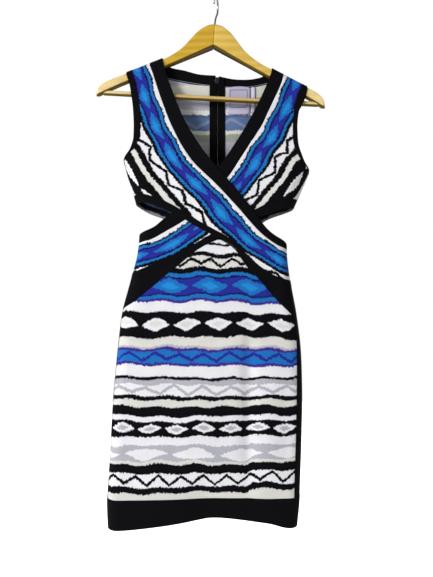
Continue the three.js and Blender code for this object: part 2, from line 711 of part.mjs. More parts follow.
function facedOut(verts, faces) {
  const turned = signedVolume(verts, faces) < 0;
  const index = [];
  for (let f = 0; f < faces.length; f += 3) {
    index.push(faces[f], faces[turned ? f + 2 : f + 1], faces[turned ? f + 1 : f + 2]);
  }
  const geometry = new THREE.BufferGeometry();
  geometry.setAttribute('position', new THREE.Float32BufferAttribute(verts, 3));
  geometry.setIndex(index);
  geometry.computeVertexNormals();
  return geometry;
}

// How far the top front piece stands out where it crosses the other one
const CROSS_UPPER = { x: 10, z: -318, dx: -0.745, dz: -0.667 };
const CROSS_LOWER = { x: 84, z: -424, dx: -0.894, dz: -0.448 };
const CROSS_EASE = 34;
const RIDGE = { x: 22, z: -372, dx: 0.62, dz: -0.785, long: 165, wide: 13, high: 2.2 };
function overLift(p) {
  const beyond = (line, sign) => sign * ((p.x - line.x) * line.dz - (p.z - line.z) * line.dx);
  const above = beyond(CROSS_UPPER, 1);
  const below = beyond(CROSS_LOWER, -1);
  const away = Math.max(above, below, 0);
  const along = (p.x - RIDGE.x) * RIDGE.dx + (p.z - RIDGE.z) * RIDGE.dz;
  const off = ((p.x - RIDGE.x) * RIDGE.dz - (p.z - RIDGE.z) * RIDGE.dx) / RIDGE.wide;
  const t = Math.min(1, Math.max(0, along / RIDGE.long));
  const ridge = RIDGE.high * Math.sin(Math.PI * t) * Math.exp(-off * off);
  return LAYER_LIFT * (1 - smooth(away / CROSS_EASE)) + ridge;
}
const noLift = () => 0;

// A cloth piece ruled between two curves, with half a seam gap taken off all round
function clothPiece(sideA, sideB, rows, cols, wall, lift = noLift) {
  const grid = [];
  const inset = SEAM_GAP / 2;
  for (let i = 0; i < rows; i += 1) {
    const t = i / (rows - 1);
    const a = sideA(t);
    const b = sideB(t);
    const cut = Math.min(0.3, inset / gap(a, b));
    grid.push(Array.from({ length: cols }, (_, j) => blend(a, b, mix(cut, 1 - cut, j / (cols - 1)))));
  }
  for (const [end, next] of [[0, 1], [rows - 1, rows - 2]]) {
    for (let j = 0; j < cols; j += 1) {
      const e = grid[end][j];
      const n = grid[next][j];
      grid[end][j] = blend(e, n, Math.min(0.3, inset / gap(e, n)));
    }
  }
  const raised = grid.map((row) => row.map(({ w, q }) => raise(w, q, lift)));
  return wallFromGrid(raised, wall);
}
function raise(w, q, lift) {
  const turn = Math.abs(w) > 2 ? w - 4 * Math.sign(w) : w;
  const s = turn * quarterAt(q);
  const point = bodyPoint(s, q);
  const normal = bodyNormal(s, q);
  return { point: point.addScaledVector(normal, lift(point)), normal };
}

// A trim ruled between its free edge and the seam rows of the panel beside it
function trimPiece(edge, seam, lift = noLift) {
  return clothPiece(matched(edge, seam), alongPoints(seam), seam.length, 3, TRIM_WALL, lift);
}

// Curves from the tables. A row on the shoulder seam gets four more that carry it over the arm's corner
const CREST_ROWS = 4;
function curveOf(table, face, way, xKey, zKey) {
  return table.flatMap((r) => {
    const p = place(face, way, r[xKey], r[zKey]);
    if (r[zKey] !== 'seam') return [p];
    const corner = [1, 2 / 3, 1 / 3, 0].map((part) => ({ w: p.w, q: p.q - CREST_FLAT - CREST_ARC * (1 - part) }));
    return [p, ...corner];
  });
}

// Materials
const cloth = (color) => new THREE.MeshStandardMaterial({ color, roughness: 0.9, metalness: 0 });
const blackKnit = cloth(0x15161a);
const patternKnit = cloth(0xc9cacc);
const blueKnit = cloth(0x2e7fd0);
const tapeCloth = cloth(0x101114);
const labelCloth = cloth(0xd8d3ea);
const beech = new THREE.MeshStandardMaterial({ color: 0xd8b45a, roughness: 0.5, metalness: 0 });
const steel = new THREE.MeshStandardMaterial({ color: 0x9a9c9e, roughness: 0.3, metalness: 0.9 });

const dress = new THREE.Group();
function add(group, name, geometry, material) {
  const mesh = new THREE.Mesh(geometry, material);
  mesh.name = name;
  group.add(mesh);
  return mesh;
}

// Front pieces and their trims
const UNDERARM_ROW = 9 + CREST_ROWS;
const SIDE_END_ROW = 11 + CREST_ROWS;
function addFrontPiece(tag, side, table, neckEdge, armhole, hemEdge, way, lift) {
  const neck = curveOf(table, 'front', way, 'neckX', 'neckZ');
  const out = curveOf(table, 'front', way, 'outX', 'outZ');
  const material = tag === 'over' ? blueKnit : patternKnit;
  const panel = clothPiece(alongPoints(neck), alongPoints(out), neck.length, 7, PANEL_WALL, lift);
  add(dress, `bodice_${tag}`, panel, material);
  const free = curveOf(neckEdge, 'front', way, 'x', 'z');
  add(dress, `neck_trim_${tag}`, trimPiece(free, neck, lift), blackKnit);
  const hole = curveOf(armhole, 'front', way, 'x', 'z');
  add(dress, `armhole_trim_${side}_front`, trimPiece(hole, out.slice(0, UNDERARM_ROW + 1), lift),
    blackKnit);
  const hem = curveOf(hemEdge, 'front', way, 'x', 'z');
  add(dress, `hem_trim_${tag}`, trimPiece(hem, out.slice(SIDE_END_ROW), lift), blackKnit);
}
addFrontPiece('over', 'left', OVER_ROWS, OVER_NECK_EDGE, ARMHOLE_LEFT, OVER_HEM_EDGE, -1, overLift);
addFrontPiece('under', 'right', UNDER_ROWS, UNDER_NECK_EDGE, ARMHOLE_RIGHT, UNDER_HEM_EDGE, 1, noLift);

// Skirt front and its yokes, whose upper sides follow the front pieces' trims
function addSkirt() {
  const left = curveOf(SKIRT_ROWS, 'front', -1, 'leftX', 'z');
  const right = curveOf(SKIRT_ROWS, 'front', 1, 'rightX', 'z');
  add(dress, 'skirt_front',
    clothPiece(alongPoints(left), alongPoints(right), SKIRT_ROWS.length, 24, PANEL_WALL), patternKnit);
  for (const [side, way, tops, trim, low] of [
    ['left', -1, YOKE_LEFT, UNDER_HEM_EDGE, left],
    ['right', 1, YOKE_RIGHT, OVER_HEM_EDGE, right],
  ]) {
    const end = trim[trim.length - 1].z;
    const line = trim.slice(1, -1);
    line.push({ x: way === 1 ? rightAt(end) : leftAt(end), z: end });
    if (way === -1) line.reverse();
    const under = (x) => place('front', way, x, straight(line, 'x', 'z', x) - YOKE_CLEAR);
    const top = tops.map((x) => (x === side ? place('front', way, side, end) : under(x)));
    const lower = low.slice(YOKE_FIRST_ROW, YOKE_FIRST_ROW + tops.length);
    add(dress, `yoke_${side}`,
      clothPiece(alongPoints(top), alongPoints(lower), tops.length, 4, PANEL_WALL), blackKnit);
  }
}
addSkirt();

// Side strips run from the waist to the hem band and carry the black round the sides
const STRIP_FRONT_LEFT = [
  { x: 'left', z: -470.5 },
  { x: 'left', z: -505 },
  { x: 'left', z: -539 },
  { x: -168.55, z: -568.5 },
  { x: -175.2, z: -598 },
  { x: -179.9, z: -640 },
  { x: -185.6, z: -690 },
  { x: -190.2, z: -740 },
  { x: -194, z: -790 },
  { x: -196.9, z: -840 },
  { x: -199.9, z: -890 },
  { x: -202.9, z: 'hemTop' },
];
const STRIP_FRONT_RIGHT = [
  { x: 'right', z: -485 },
  { x: 'right', z: -505 },
  { x: 'right', z: -530 },
  { x: 'right', z: -555 },
  { x: 145.4, z: -613 },
  { x: 147.3, z: -640 },
  { x: 148.5, z: -690 },
  { x: 148.3, z: -740 },
  { x: 147.6, z: -790 },
  { x: 146.6, z: -840 },
  { x: 145, z: -890 },
  { x: 143.9, z: 'hemTop' },
];
const STRIP_FIRST_ROW = 21;
function addStrips() {
  const fronts = {
    left: curveOf(STRIP_FRONT_LEFT, 'front', -1, 'x', 'z'),
    right: curveOf(STRIP_FRONT_RIGHT, 'front', 1, 'x', 'z'),
  };
  for (const [side, way, rows] of [['left', -1, BACK_LEFT_ROWS], ['right', 1, BACK_RIGHT_ROWS]]) {
    const back = curveOf(rows.slice(STRIP_FIRST_ROW), 'back', way, 'outX', 'outZ');
    add(dress, `side_strip_${side}`,
      clothPiece(alongPoints(fronts[side]), alongPoints(back), back.length, 8, PANEL_WALL),
      blackKnit);
  }
}
addStrips();

// Hem band, front and back halves. On the back w runs on past the middle, from 1 to 3
function addHemBand() {
  const lowFront = HEM_FRONT.map((r) => place('front', r.x < 0 ? -1 : 1, r.x, r.z));
  const lowBack = HEM_BACK.map((r) => {
    const p = place('back', r.x < 0 ? -1 : 1, r.x, r.z);
    return { w: p.w < 0 ? p.w + 4 : p.w, q: p.q };
  });
  for (const [face, low] of [['front', lowFront], ['back', lowBack]]) {
    const top = low.map((p) => ({ w: p.w, q: hemTopAt(p.w > 2 ? p.w - 4 : p.w) - SEAM_GAP / 2 }));
    add(dress, `hem_band_${face}`, clothPiece(evenly(top), evenly(low), 36, 4, TRIM_WALL), blackKnit);
  }
}
addHemBand();

// Extra rows carry the end of a cut-out trim round the side
const SIDE_STEPS = [1 / 4, 1 / 2, 3 / 4];
function roundSide(points) {
  const [from, to] = points.slice(-2);
  return [...points.slice(0, -1), ...SIDE_STEPS.map((u) => blend(from, to, u)), to];
}

// Back halves, neckline, armhole and cut-out trims
function addBack(side, way, rows, neckEdge, armhole, cutout) {
  const inner = curveOf(rows, 'back', way, 'inX', 'inZ');
  const outer = curveOf(rows, 'back', way, 'outX', 'outZ');
  add(dress, `back_${side}`, clothPiece(alongPoints(inner), alongPoints(outer), inner.length, 9,
    PANEL_WALL), patternKnit);
  const neck = curveOf(neckEdge, 'back', way, 'x', 'z');
  add(dress, `back_neck_trim_${side}`, trimPiece(neck, inner.slice(0, neck.length)), blackKnit);
  const hole = curveOf(armhole, 'back', way, 'x', 'z');
  add(dress, `armhole_trim_${side}_back`, trimPiece(hole, outer.slice(0, UNDERARM_ROW + 1)), blackKnit);
  const edge = roundSide(curveOf(cutout, 'back', way, 'x', 'z'));
  const first = CUTOUT_FIRST_ROW + CREST_ROWS;
  const waist = place('back', way, side, STRIP_TOP[side]);
  const seam = roundSide([...outer.slice(first, first + cutout.length - 1), waist]);
  add(dress, `cutout_trim_${side}`, clothPiece(alongPoints(edge), alongPoints(seam), seam.length, 3, TRIM_WALL),
    blackKnit);
}
addBack('left', -1, BACK_LEFT_ROWS, BACK_NECK_LEFT, ARMHOLE_LEFT, CUTOUT_LEFT);
addBack('right', 1, BACK_RIGHT_ROWS, BACK_NECK_RIGHT, ARMHOLE_RIGHT, CUTOUT_RIGHT);

// Zip: two tapes inside the back, the closed chain between the halves, the slider and its pull
const BEHIND = -(2 * SEAM_GAP + TAPE_WALL);
function backStrip(offFrom, offTo, heights, cols, wall, lift) {
  const grid = [];
  for (const q of heights) {
    const half = 2 * quarterAt(q);
    const row = [];
    for (let j = 0; j < cols; j += 1) {
      const off = mix(offFrom, offTo, j / (cols - 1));
      const s = off < 0 ? -(half + off) : half - off;
      const normal = bodyNormal(s, q);
      row.push({ point: bodyPoint(s, q).addScaledVector(normal, lift), normal });
    }
    grid.push(row);
  }
  return wallFromGrid(grid, wall);
}
const steps = (from, to, count) => Array.from({ length: count }, (_, i) => mix(from, to, i / (count - 1)));
function addZip() {
  const clear = 0.5;
  const between = BACK_LEFT_ROWS.filter((r) => r.inX === 'zip' && r.inZ > ZIP_END).map((r) => r.inZ);
  const heights = [ZIP_TOP, (ZIP_TOP + between[0]) / 2, ...between, ZIP_END];
  const chain = [ZIP_TOP - clear, ...heights.slice(1, -1), ZIP_END + clear];
  for (const [side, way] of [['left', -1], ['right', 1]]) {
    const near = ZIP_OFF + way * 0.6;
    const far = ZIP_OFF + way * TAPE_WIDE;
    add(dress, `zip_tape_${side}`, backStrip(far, near, heights, 3, TAPE_WALL, BEHIND), tapeCloth);
  }
  const half = CHAIN_WIDE / 2;
  add(dress, 'zip_chain', backStrip(ZIP_OFF - half, ZIP_OFF + half, chain, 2, PANEL_WALL, 0), steel);
}
addZip();

// Boolean work, on merged meshes
function solidOf(geometry) {
  const g = geometry.index ? geometry.toNonIndexed() : geometry.clone();
  for (const name of Object.keys(g.attributes)) if (name !== 'position') g.deleteAttribute(name);
  const m = mergeVertices(g, 1e-4);
  return new wasm.Manifold(new wasm.Mesh({
    numProp: 3,
    vertProperties: new Float32Array(m.attributes.position.array),
    triVerts: new Uint32Array(m.index.array),
  }));
}
function geometryOf(solid) {
  const mesh = solid.getMesh();
  const g = new THREE.BufferGeometry();
  const count = mesh.vertProperties.length / mesh.numProp;
  const positions = new Float32Array(count * 3);
  for (let i = 0; i < count; i += 1) {
    for (let k = 0; k < 3; k += 1) positions[3 * i + k] = mesh.vertProperties[mesh.numProp * i + k];
  }
  g.setAttribute('position', new THREE.BufferAttribute(positions, 3));
  g.setIndex(new THREE.BufferAttribute(new Uint32Array(mesh.triVerts), 1));
  return g;
}
const boxAt = (wx, wy, wz, x, y, z) => new THREE.BoxGeometry(wx, wy, wz).translate(x, y, z);
const rodX = (r, long, x, y, z, sides) =>
  new THREE.CylinderGeometry(r, r, long, sides).rotateZ(Math.PI / 2).translate(x, y, z);

// Slider: a plate on each face of the zip, joined above the chain, with two ears and a pin
const SLIDER_WIDE = 8;
const SLIDER_LONG = 12;
const PLATE = 1.2;
const PIN_R = 0.6;
const EAR = 1;
const PULL_WIDE = 4.4;
const PULL_LONG = 24;
const PULL_THICK = 1.2;
const EYE_R = 1.7;
const PIN_BELOW = 2;
function zipParts() {
  const at = bodyPoint(2 * quarterAt(ZIP_TOP) - ZIP_OFF, ZIP_TOP);
  const low = bodyPoint(2 * quarterAt(ZIP_TOP) - ZIP_OFF, ZIP_TOP - SLIDER_LONG);
  const lean = Math.atan2(low.y - at.y, SLIDER_LONG);
  const frame = new THREE.Group();
  frame.position.copy(at);
  frame.rotation.x = lean;
  const outer = PANEL_WALL + SEAM_GAP + PLATE / 2 + 0.3;
  const inner = BEHIND - SEAM_GAP - PLATE / 2 - 0.3;
  const middle = -SLIDER_LONG / 2 + 1.8;
  const pinY = outer + PLATE / 2 + EYE_R + 0.4;
  const pieces = [
    boxAt(SLIDER_WIDE, PLATE, SLIDER_LONG, 0, outer, middle),
    boxAt(SLIDER_WIDE, PLATE, SLIDER_LONG, 0, inner, middle),
    boxAt(2.4, outer - inner, 1.4, 0, (outer + inner) / 2, 1.1),
    boxAt(EAR, pinY - outer + 1, 2.4, -PULL_WIDE / 2 - 0.4 - EAR / 2, (outer + pinY + 1) / 2, -PIN_BELOW),
    boxAt(EAR, pinY - outer + 1, 2.4, PULL_WIDE / 2 + 0.4 + EAR / 2, (outer + pinY + 1) / 2, -PIN_BELOW),
    rodX(PIN_R, PULL_WIDE + 0.8 + EAR, 0, pinY, -PIN_BELOW, 10),
  ].map(solidOf);
  const slider = pieces.reduce((a, b) => a.add(b));
  add(frame, 'zip_slider', geometryOf(slider), steel);
  const pull = add(frame, 'zip_pull', pullShape(), steel);
  pull.position.set(0, pinY, -PIN_BELOW);
  pull.rotation.x = -lean;
  return frame;
}

// The pull: an eye round the pin and a flat tab below it
function pullShape() {
  const outline = new THREE.Shape();
  const half = PULL_THICK / 2;
  const start = Math.asin(half / EYE_R);
  outline.absarc(0, 0, EYE_R, -Math.PI / 2 + start, Math.PI * 1.5 - start, false);
  outline.lineTo(-half, -PULL_LONG + half);
  outline.lineTo(0, -PULL_LONG);
  outline.lineTo(half, -PULL_LONG + half);
  outline.closePath();
  const eye = new THREE.Path();
  eye.absarc(0, 0, PIN_R + 0.35, 0, Math.PI * 2, true);
  outline.holes.push(eye);
  const g = new THREE.ExtrudeGeometry(outline, { depth: PULL_WIDE, bevelEnabled: false, curveSegments: 10 });
  g.translate(0, 0, -PULL_WIDE / 2);
  // The shape's own axes x, y and depth become Y, Z and X
  const turn = new THREE.Matrix4().makeBasis(
    new THREE.Vector3(0, 1, 0), new THREE.Vector3(0, 0, 1), new THREE.Vector3(1, 0, 0));
  return g.applyMatrix4(turn);
}
dress.add(zipParts());

// Labels inside the back neck
const LABEL_WIDE = 44;
const LABEL_LONG = 51;
const LABEL_X = 20.5;
const LABEL_TOP = -168.5;
const TAG_X = 66.2;
const TAG_WIDE = 8.5;
const TAG_TOP = -170.5;
const TAG_LONG = 46;
function addLabels() {
  const inside = BEHIND - 0.3;
  add(dress, 'label', backStrip(LABEL_X, LABEL_X + LABEL_WIDE,
    steps(LABEL_TOP, LABEL_TOP - LABEL_LONG, 6), 5, TAPE_WALL, inside), labelCloth);
  add(dress, 'size_tag', backStrip(TAG_X, TAG_X + TAG_WIDE,
    steps(TAG_TOP, TAG_TOP - TAG_LONG, 6), 3, TAPE_WALL, inside), labelCloth);
}
addLabels();

// Hanger
const hanger = new THREE.Group();
hanger.rotation.y = HANGER_TILT;

// One section of an arm: a rectangle with rounded corners, thicker at the middle of the hanger
function armSection(x) {
  const high = straight(ARM_TOP, 'x', 'z', x);
  const low = straight(ARM_LOW, 'x', 'z', x);
  const thick = ARM_THICK + (ARM_CENTRE_THICK - ARM_THICK) * Math.exp(-((x / 45) ** 2));
  const r = Math.min(ARM_CORNER, (high - low) / 2.4);
  const shift = armSweep(x);
  const points = [];
  const corners = [
    { y: thick / 2 - r, z: high - r, from: 0 },
    { y: -thick / 2 + r, z: high - r, from: 90 },
    { y: -thick / 2 + r, z: low + r, from: 180 },
    { y: thick / 2 - r, z: low + r, from: 270 },
  ];
  for (const c of corners) {
    for (const step of [0, 30, 60, 90]) {
      const a = THREE.MathUtils.degToRad(c.from + step);
      points.push(new THREE.Vector3(x, c.y + r * Math.cos(a) + shift, c.z + r * Math.sin(a)));
    }
  }
  return points;
}
function armGeometry(way) {
  const first = 0.15;
  const stations = [...new Set([...ARM_TOP, ...ARM_LOW].map((p) => p.x))].sort((a, b) => a - b);
  stations[0] = first;
  const rings = stations.map(armSection);
  const m = rings[0].length;
  const verts = [];
  for (const ring of rings) for (const p of ring) verts.push(way * p.x, p.y, p.z);
  const faces = [];
  for (let i = 0; i < rings.length - 1; i += 1) {
    for (let j = 0; j < m; j += 1) {
      const k = (j + 1) % m;
      faces.push(i * m + j, i * m + k, (i + 1) * m + k, i * m + j, (i + 1) * m + k, (i + 1) * m + j);
    }
  }
  const last = (rings.length - 1) * m;
  for (let j = 1; j < m - 1; j += 1) {
    faces.push(0, j + 1, j);
    faces.push(last, last + j, last + j + 1);
  }
  return facedOut(verts, faces);
}
const barY = armSweep(BAR_HALF - 8);
function addHanger() {
  const barRoom = solidOf(rodX(BAR_R + SEAM_GAP, 2 * BAR_HALF + 2 * SEAM_GAP, 0, barY, BAR_Z, 20));
  const stem = WIRE_R + SEAM_GAP;
  const long = -HOOK_FOOT_Z - 50;
  const stemRoom = solidOf(new THREE.CylinderGeometry(stem, stem, long, 16).rotateX(Math.PI / 2)
    .translate(0, 0, HOOK_FOOT_Z - SEAM_GAP + long / 2));
  for (const [side, way] of [['left', -1], ['right', 1]]) {
    const arm = solidOf(armGeometry(way)).subtract(barRoom).subtract(stemRoom);
    add(hanger, `hanger_arm_${side}`, geometryOf(arm), beech);
  }
  add(hanger, 'hanger_bar', rodX(BAR_R, 2 * BAR_HALF, 0, barY, BAR_Z, 20), beech);
  add(hanger, 'hanger_hook', hookGeometry(), steel);
}

// The hook: a straight stem, a bend to one side and an open arc over the rail
function hookGeometry() {
  const r = HOOK_INNER_R + WIRE_R;
  const points = [
    [0, HOOK_FOOT_Z], [0, (HOOK_FOOT_Z + HOOK_NECK_Z) / 2], [0, HOOK_NECK_Z], [1.6, HOOK_NECK_Z + 7],
  ];
  for (let a = -55; a <= 205; a += 20) {
    const angle = THREE.MathUtils.degToRad(a);
    points.push([r * Math.cos(angle), -HOOK_INNER_R + r * Math.sin(angle)]);
  }
  const path = new THREE.CatmullRomCurve3(points.map(([u, z]) => new THREE.Vector3(u, 0, z)));
  const section = new THREE.Shape();
  section.absarc(0, 0, WIRE_R, 0, Math.PI * 2, false);
  const wire = new THREE.ExtrudeGeometry(section, { steps: 64, extrudePath: path, curveSegments: 5 });
  const collar = new THREE.CylinderGeometry(2.9, 3.4, 4, 14).rotateX(Math.PI / 2).translate(0, 0, -54.4);
  return geometryOf(solidOf(wire).add(solidOf(collar))).rotateZ(HOOK_TURN);
}
addHanger();
dress.add(hanger);

export default dress;
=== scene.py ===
"""A sleeveless knitted bodycon dress with a crossed front, hung on a wooden hanger.

Sizes are in millimetres until a mesh is made. +Z is up and the front faces -Y. Each cloth piece is a
thin shell raised from one body surface. Its place is (w, q): w runs round the body, 0 at mid-front and
-1 and 1 at the sides, and q is the height along the cloth.
"""
import json
import math

import bmesh
import bpy
import numpy as np
from mathutils import Matrix, Vector

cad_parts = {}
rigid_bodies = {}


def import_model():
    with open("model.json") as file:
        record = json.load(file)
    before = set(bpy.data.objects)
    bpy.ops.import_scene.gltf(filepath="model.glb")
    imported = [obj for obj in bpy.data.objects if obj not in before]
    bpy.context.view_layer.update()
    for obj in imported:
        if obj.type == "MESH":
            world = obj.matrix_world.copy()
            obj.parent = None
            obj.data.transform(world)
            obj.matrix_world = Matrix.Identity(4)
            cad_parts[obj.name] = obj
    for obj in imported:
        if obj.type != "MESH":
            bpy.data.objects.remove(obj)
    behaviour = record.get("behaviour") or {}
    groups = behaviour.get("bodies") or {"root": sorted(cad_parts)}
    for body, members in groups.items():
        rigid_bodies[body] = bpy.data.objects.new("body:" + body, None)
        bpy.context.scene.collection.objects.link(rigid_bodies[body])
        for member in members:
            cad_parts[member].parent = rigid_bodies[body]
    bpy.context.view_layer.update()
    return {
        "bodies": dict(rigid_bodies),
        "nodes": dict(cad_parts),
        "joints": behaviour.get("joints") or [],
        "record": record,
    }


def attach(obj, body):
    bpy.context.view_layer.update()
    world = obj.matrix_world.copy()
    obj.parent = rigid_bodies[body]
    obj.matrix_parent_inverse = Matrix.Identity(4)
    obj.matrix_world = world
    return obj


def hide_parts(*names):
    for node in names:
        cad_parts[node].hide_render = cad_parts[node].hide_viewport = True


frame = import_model()

MM = 0.001
FINE = 3.2

# Cloth and seams
PANEL_WALL = 1.6
TRIM_WALL = 2.0
TAPE_WALL = 1.0
SEAM_GAP = 0.3
SEAM_LAP = 0.05
LAYER_LIFT = TRIM_WALL + SEAM_GAP
STRIP_BACK = 45.0

# Hanger
TILT = math.radians(3.1)
ARM_THICK = 14.0
ARM_CENTRE_THICK = 20.0
ARM_CORNER = 4.0
ARM_CLEAR = 0.5
ARM_TIP_X = 215.5
ARM_SWEEP = 5.5
ARM_SWEEP_AT = 200.0
SHOULDER_X = 90.0
SHOULDER_Z = -125.9
SHOULDER_SLOPE = 0.47
BAR_R = 4.75
BAR_Z = -197.4
BAR_HALF = 203.0
WIRE_R = 1.75
HOOK_INNER_R = 17.0
HOOK_TURN = math.radians(80)
HOOK_FOOT_Z = -84.0
HOOK_NECK_Z = -52.0

# Zip
ZIP_OFF = 1.5
ZIP_GAP = 6.0
ZIP_TOP = -153.5
ZIP_END = -556.0
TAPE_WIDE = 15.0

HEM_TOP = -946.6
HEM_TOP_RISE = 2.6
STRIP_TOP = {"left": -470.5, "right": -485.0}

# x, z along the top and the underside of a hanger arm
ARM_TOP = (
    (0, -57.5), (9, -58.6), (18, -62.4), (31, -71.8), (44, -86.5), (57, -101.8), (72, -114.4),
    (SHOULDER_X, SHOULDER_Z), (130, SHOULDER_Z - SHOULDER_SLOPE * 40),
    (174, SHOULDER_Z - SHOULDER_SLOPE * 84), (190, -172.8), (202, -179.6), (210, -187.2), (214, -194.5),
    (ARM_TIP_X, -200),
)
ARM_LOW = (
    (0, -98.9), (98, -147.2), (167, -180), (186, -190), (200, -197.7), (210, -203.5), (ARM_TIP_X, -205),
)

# z, left side, right side, half depth of the body surface
RINGS = (
    (-100, -178, 178, 8), (-150, -178, 178, 10), (-200, -178, 178, 15.5), (-250, -178, 178, 21.5),
    (-300, -177, 178, 26), (-317, -173.5, 176.5, 27), (-340, -168, 172.5, 27), (-377, -156, 157, 26),
    (-408, -148.2, 143.5, 22), (-455, -144.6, 131.8, 17), (-475, -146.2, 131.5, 16.5),
    (-501, -150.5, 133, 17.5), (-531, -158.5, 136.8, 19.5), (-567, -168.5, 143.4, 22),
    (-600, -177, 149.5, 24), (-661, -184.7, 157.5, 26), (-717, -190.2, 160.3, 27),
    (-778, -195.4, 160.9, 27), (-864, -200, 159, 26), (-925, -204, 156.8, 24),
    (-960, -205.8, 155.6, 23), (-1010, -204, 150.5, 22),
)

# face, start x and z, end x and z, width, depth (a ridge where it is negative)
FOLDS = (
    ("front", 62, -560, 60, -1010, 13, 6.5), ("front", 40, -600, 37, -980, 15, -2.6),
    ("front", 104, -640, 100, -1000, 18, -2.4), ("front", -10, -880, -14, -1080, 52, 8),
    ("front", -78, -620, -92, -920, 28, 2.2), ("front", -150, -640, -168, -960, 20, 1.8),
    ("front", -120, -330, -60, -392, 14, 1.8), ("front", 128, -340, 70, -400, 14, 1.8),
    ("back", -70, -540, -84, -1010, 17, 4.5), ("back", 66, -600, 74, -980, 20, 3.2),
    ("back", 112, -660, 116, -930, 16, 1.8), ("back", -96, -250, -40, -392, 16, 2),
    ("back", 104, -262, 46, -400, 18, 1.8),
)

# Finer creases of the same kind, which only the shells have
CREASES = (
    ("front", 43, -650, 40, -1000, 19, 4.4), ("front", 14, -700, 8, -900, 16, 1.3),
    ("front", -44, -560, -52, -700, 20, 1.2), ("front", -118, -700, -128, -900, 18, 1.4),
    ("front", 130, -690, 134, -930, 15, 1.4), ("front", 92, -520, 116, -610, 10, 1.2),
    ("front", -96, -530, -124, -610, 10, 1.2), ("front", 18, -372, 46, -398, 5, 1.0),
    ("front", 4, -386, 34, -420, 5, 0.9), ("front", 66, -420, 88, -452, 6, 0.9),
    ("front", -66, -440, -92, -470, 6, 0.9), ("front", -124, -292, -96, -352, 8, 1.0),
    ("front", 128, -300, 104, -356, 8, 1.0), ("front", -108, -218, -96, -262, 7, 0.8),
    ("front", 100, -228, 88, -270, 7, 0.8),
    ("back", -40, -640, -46, -930, 16, 1.6), ("back", 30, -700, 34, -900, 14, 1.3),
    ("back", -120, -700, -126, -920, 16, 1.4), ("back", 84, -520, 108, -610, 10, 1.2),
    ("back", -88, -520, -112, -610, 10, 1.2), ("back", -60, -180, -30, -290, 18, 1.6),
    ("back", 58, -190, 30, -300, 18, 1.6),
)

# Front piece on top: neck seam x, z and outer seam x, z
OVER_ROWS = (
    (-125, "seam", -157, "seam"), (-120, -150, -152, -168), (-113, -172, -147.9, -188),
    (-104, -199, -143.5, -212), (-95, -224, -141.5, -238), (-85.5, -248, -142, -268),
    (-76, -268, -150.5, -295), (-73, -274, -162.5, -307), (-70, -280, -171.5, -316),
    (-67, -286, "left", -323), (-57, -302, "left", -350), (-46, -318, "left", -382),
    (-42, -322.5, -151.5, -380.5), (-38.5, -326.5, -142.5, -380), (-35, -330.5, -131, -381.5),
    (-22, -343, -110, -388), (-8, -356, -88, -397.2), (7, -371, -62, -411.5),
    (20, -384.4, -35, -428.6), (34, -399, -8, -443.4), (47, -413.3, 17, -456.8),
    (60, -428.5, 38, -470.5), (72, -441.5, 56, -491), (85, -454, 76, -510), (100, -466, 98, -526),
    (115, -475.5, 119, -536), (122, -478.5, 128, -538.5), (128, -481, 134.5, -540),
    ("right", -483, "right", -541),
)

# Front piece beneath, in the same columns
UNDER_ROWS = (
    (125.5, "seam", 159, "seam"), (119, -177, 151.5, -194), (111, -194.5, 146.5, -213),
    (102.7, -212.2, 143, -238), (93.5, -232.5, 141.5, -262), (84, -253, 143, -289),
    (74, -269, 153.5, -315), (71, -274, 163, -325.5), (67.5, -279, 170.5, -335),
    (64, -284, "right", -343), (54, -300, "right", -366), (43, -317, "right", -389),
    (39.5, -322.5, 148, -388.5), (36.5, -327.5, 138, -389), (33, -333, 120, -391.5),
    (21.8, -349, 97, -397), (8, -364, 76, -407), (-8, -381, 54, -418), (-24, -396.5, 32, -430),
    (-41, -412, 10, -442), (-58.3, -427.5, -14, -456.5), (-74, -437.5, -40, -471.8),
    (-90, -446.5, -66, -485.5), (-106, -455.5, -93, -498.5), (-122, -464, -121, -511.5),
    (-133, -467, -135, -517.5), (-141.5, -469.3, -147, -522.5), ("left", -470.5, "left", -526),
)

# Free edges of the trims, as x, z
OVER_NECK_EDGE = (
    (-101, "seam"), (-95.1, -150.8), (-86.9, -173), (-72.7, -211.5), (-56.6, -247.9), (-36.4, -282.1),
    (-16.1, -310.7), (2, -333), (22.4, -356), (45.7, -382.6), (66, -407), (83.8, -432),
    (101.4, -450.5), ("right", -474.5),
)
UNDER_NECK_EDGE = (
    (103.9, "seam"), (98.8, -160.9), (82.6, -199.3), (62.4, -239.9), (40, -278.4), (14.8, -316.8),
    (-10, -346), (-38, -375), (-62, -398), (-83.1, -415.1), (-99.5, -427), (-117.3, -441),
    ("left", -456.5),
)
ARMHOLE_LEFT = (
    (-169, "seam"), (-163.5, -172), (-160.4, -190), (-156.5, -215), (-154.2, -240), (-153.5, -262),
    (-155, -283), (-163, -302), ("left", -317),
)
ARMHOLE_RIGHT = (
    (170, "seam"), (164.3, -204), (155.5, -220), (151, -245), (150.2, -268), (152, -291),
    (158.5, -311), (165, -324), ("right", -337),
)
OVER_HEM_EDGE = (
    ("left", -398), (-131, -396), (-108, -404), (-83, -415), (-58.5, -427.6), (-39.3, -439),
    (-11.7, -453.7), (3.1, -461.1), (29.8, -475), (46, -493.5), (66, -514.5), (90, -534),
    (115, -548), ("right", -554),
)
UNDER_HEM_EDGE = (
    ("right", -404), (124, -407.5), (101, -416), (78.7, -423.3), (58, -432), (34, -444.5),
    (14, -455), (-12, -469), (-37, -484), (-62, -498), (-90, -511.5), (-120, -524.5), ("left", -539),
)
BACK_NECK_LEFT = (
    (-101, "seam"), (-95, -130), (-82, -134.5), (-62, -138.2), (-34, -145.2), ("zip", -147.6),
)
BACK_NECK_RIGHT = (
    (103.9, "seam"), (97, -146), (84, -152), (62, -155.5), (32, -154.5), ("zip", -148.8),
)
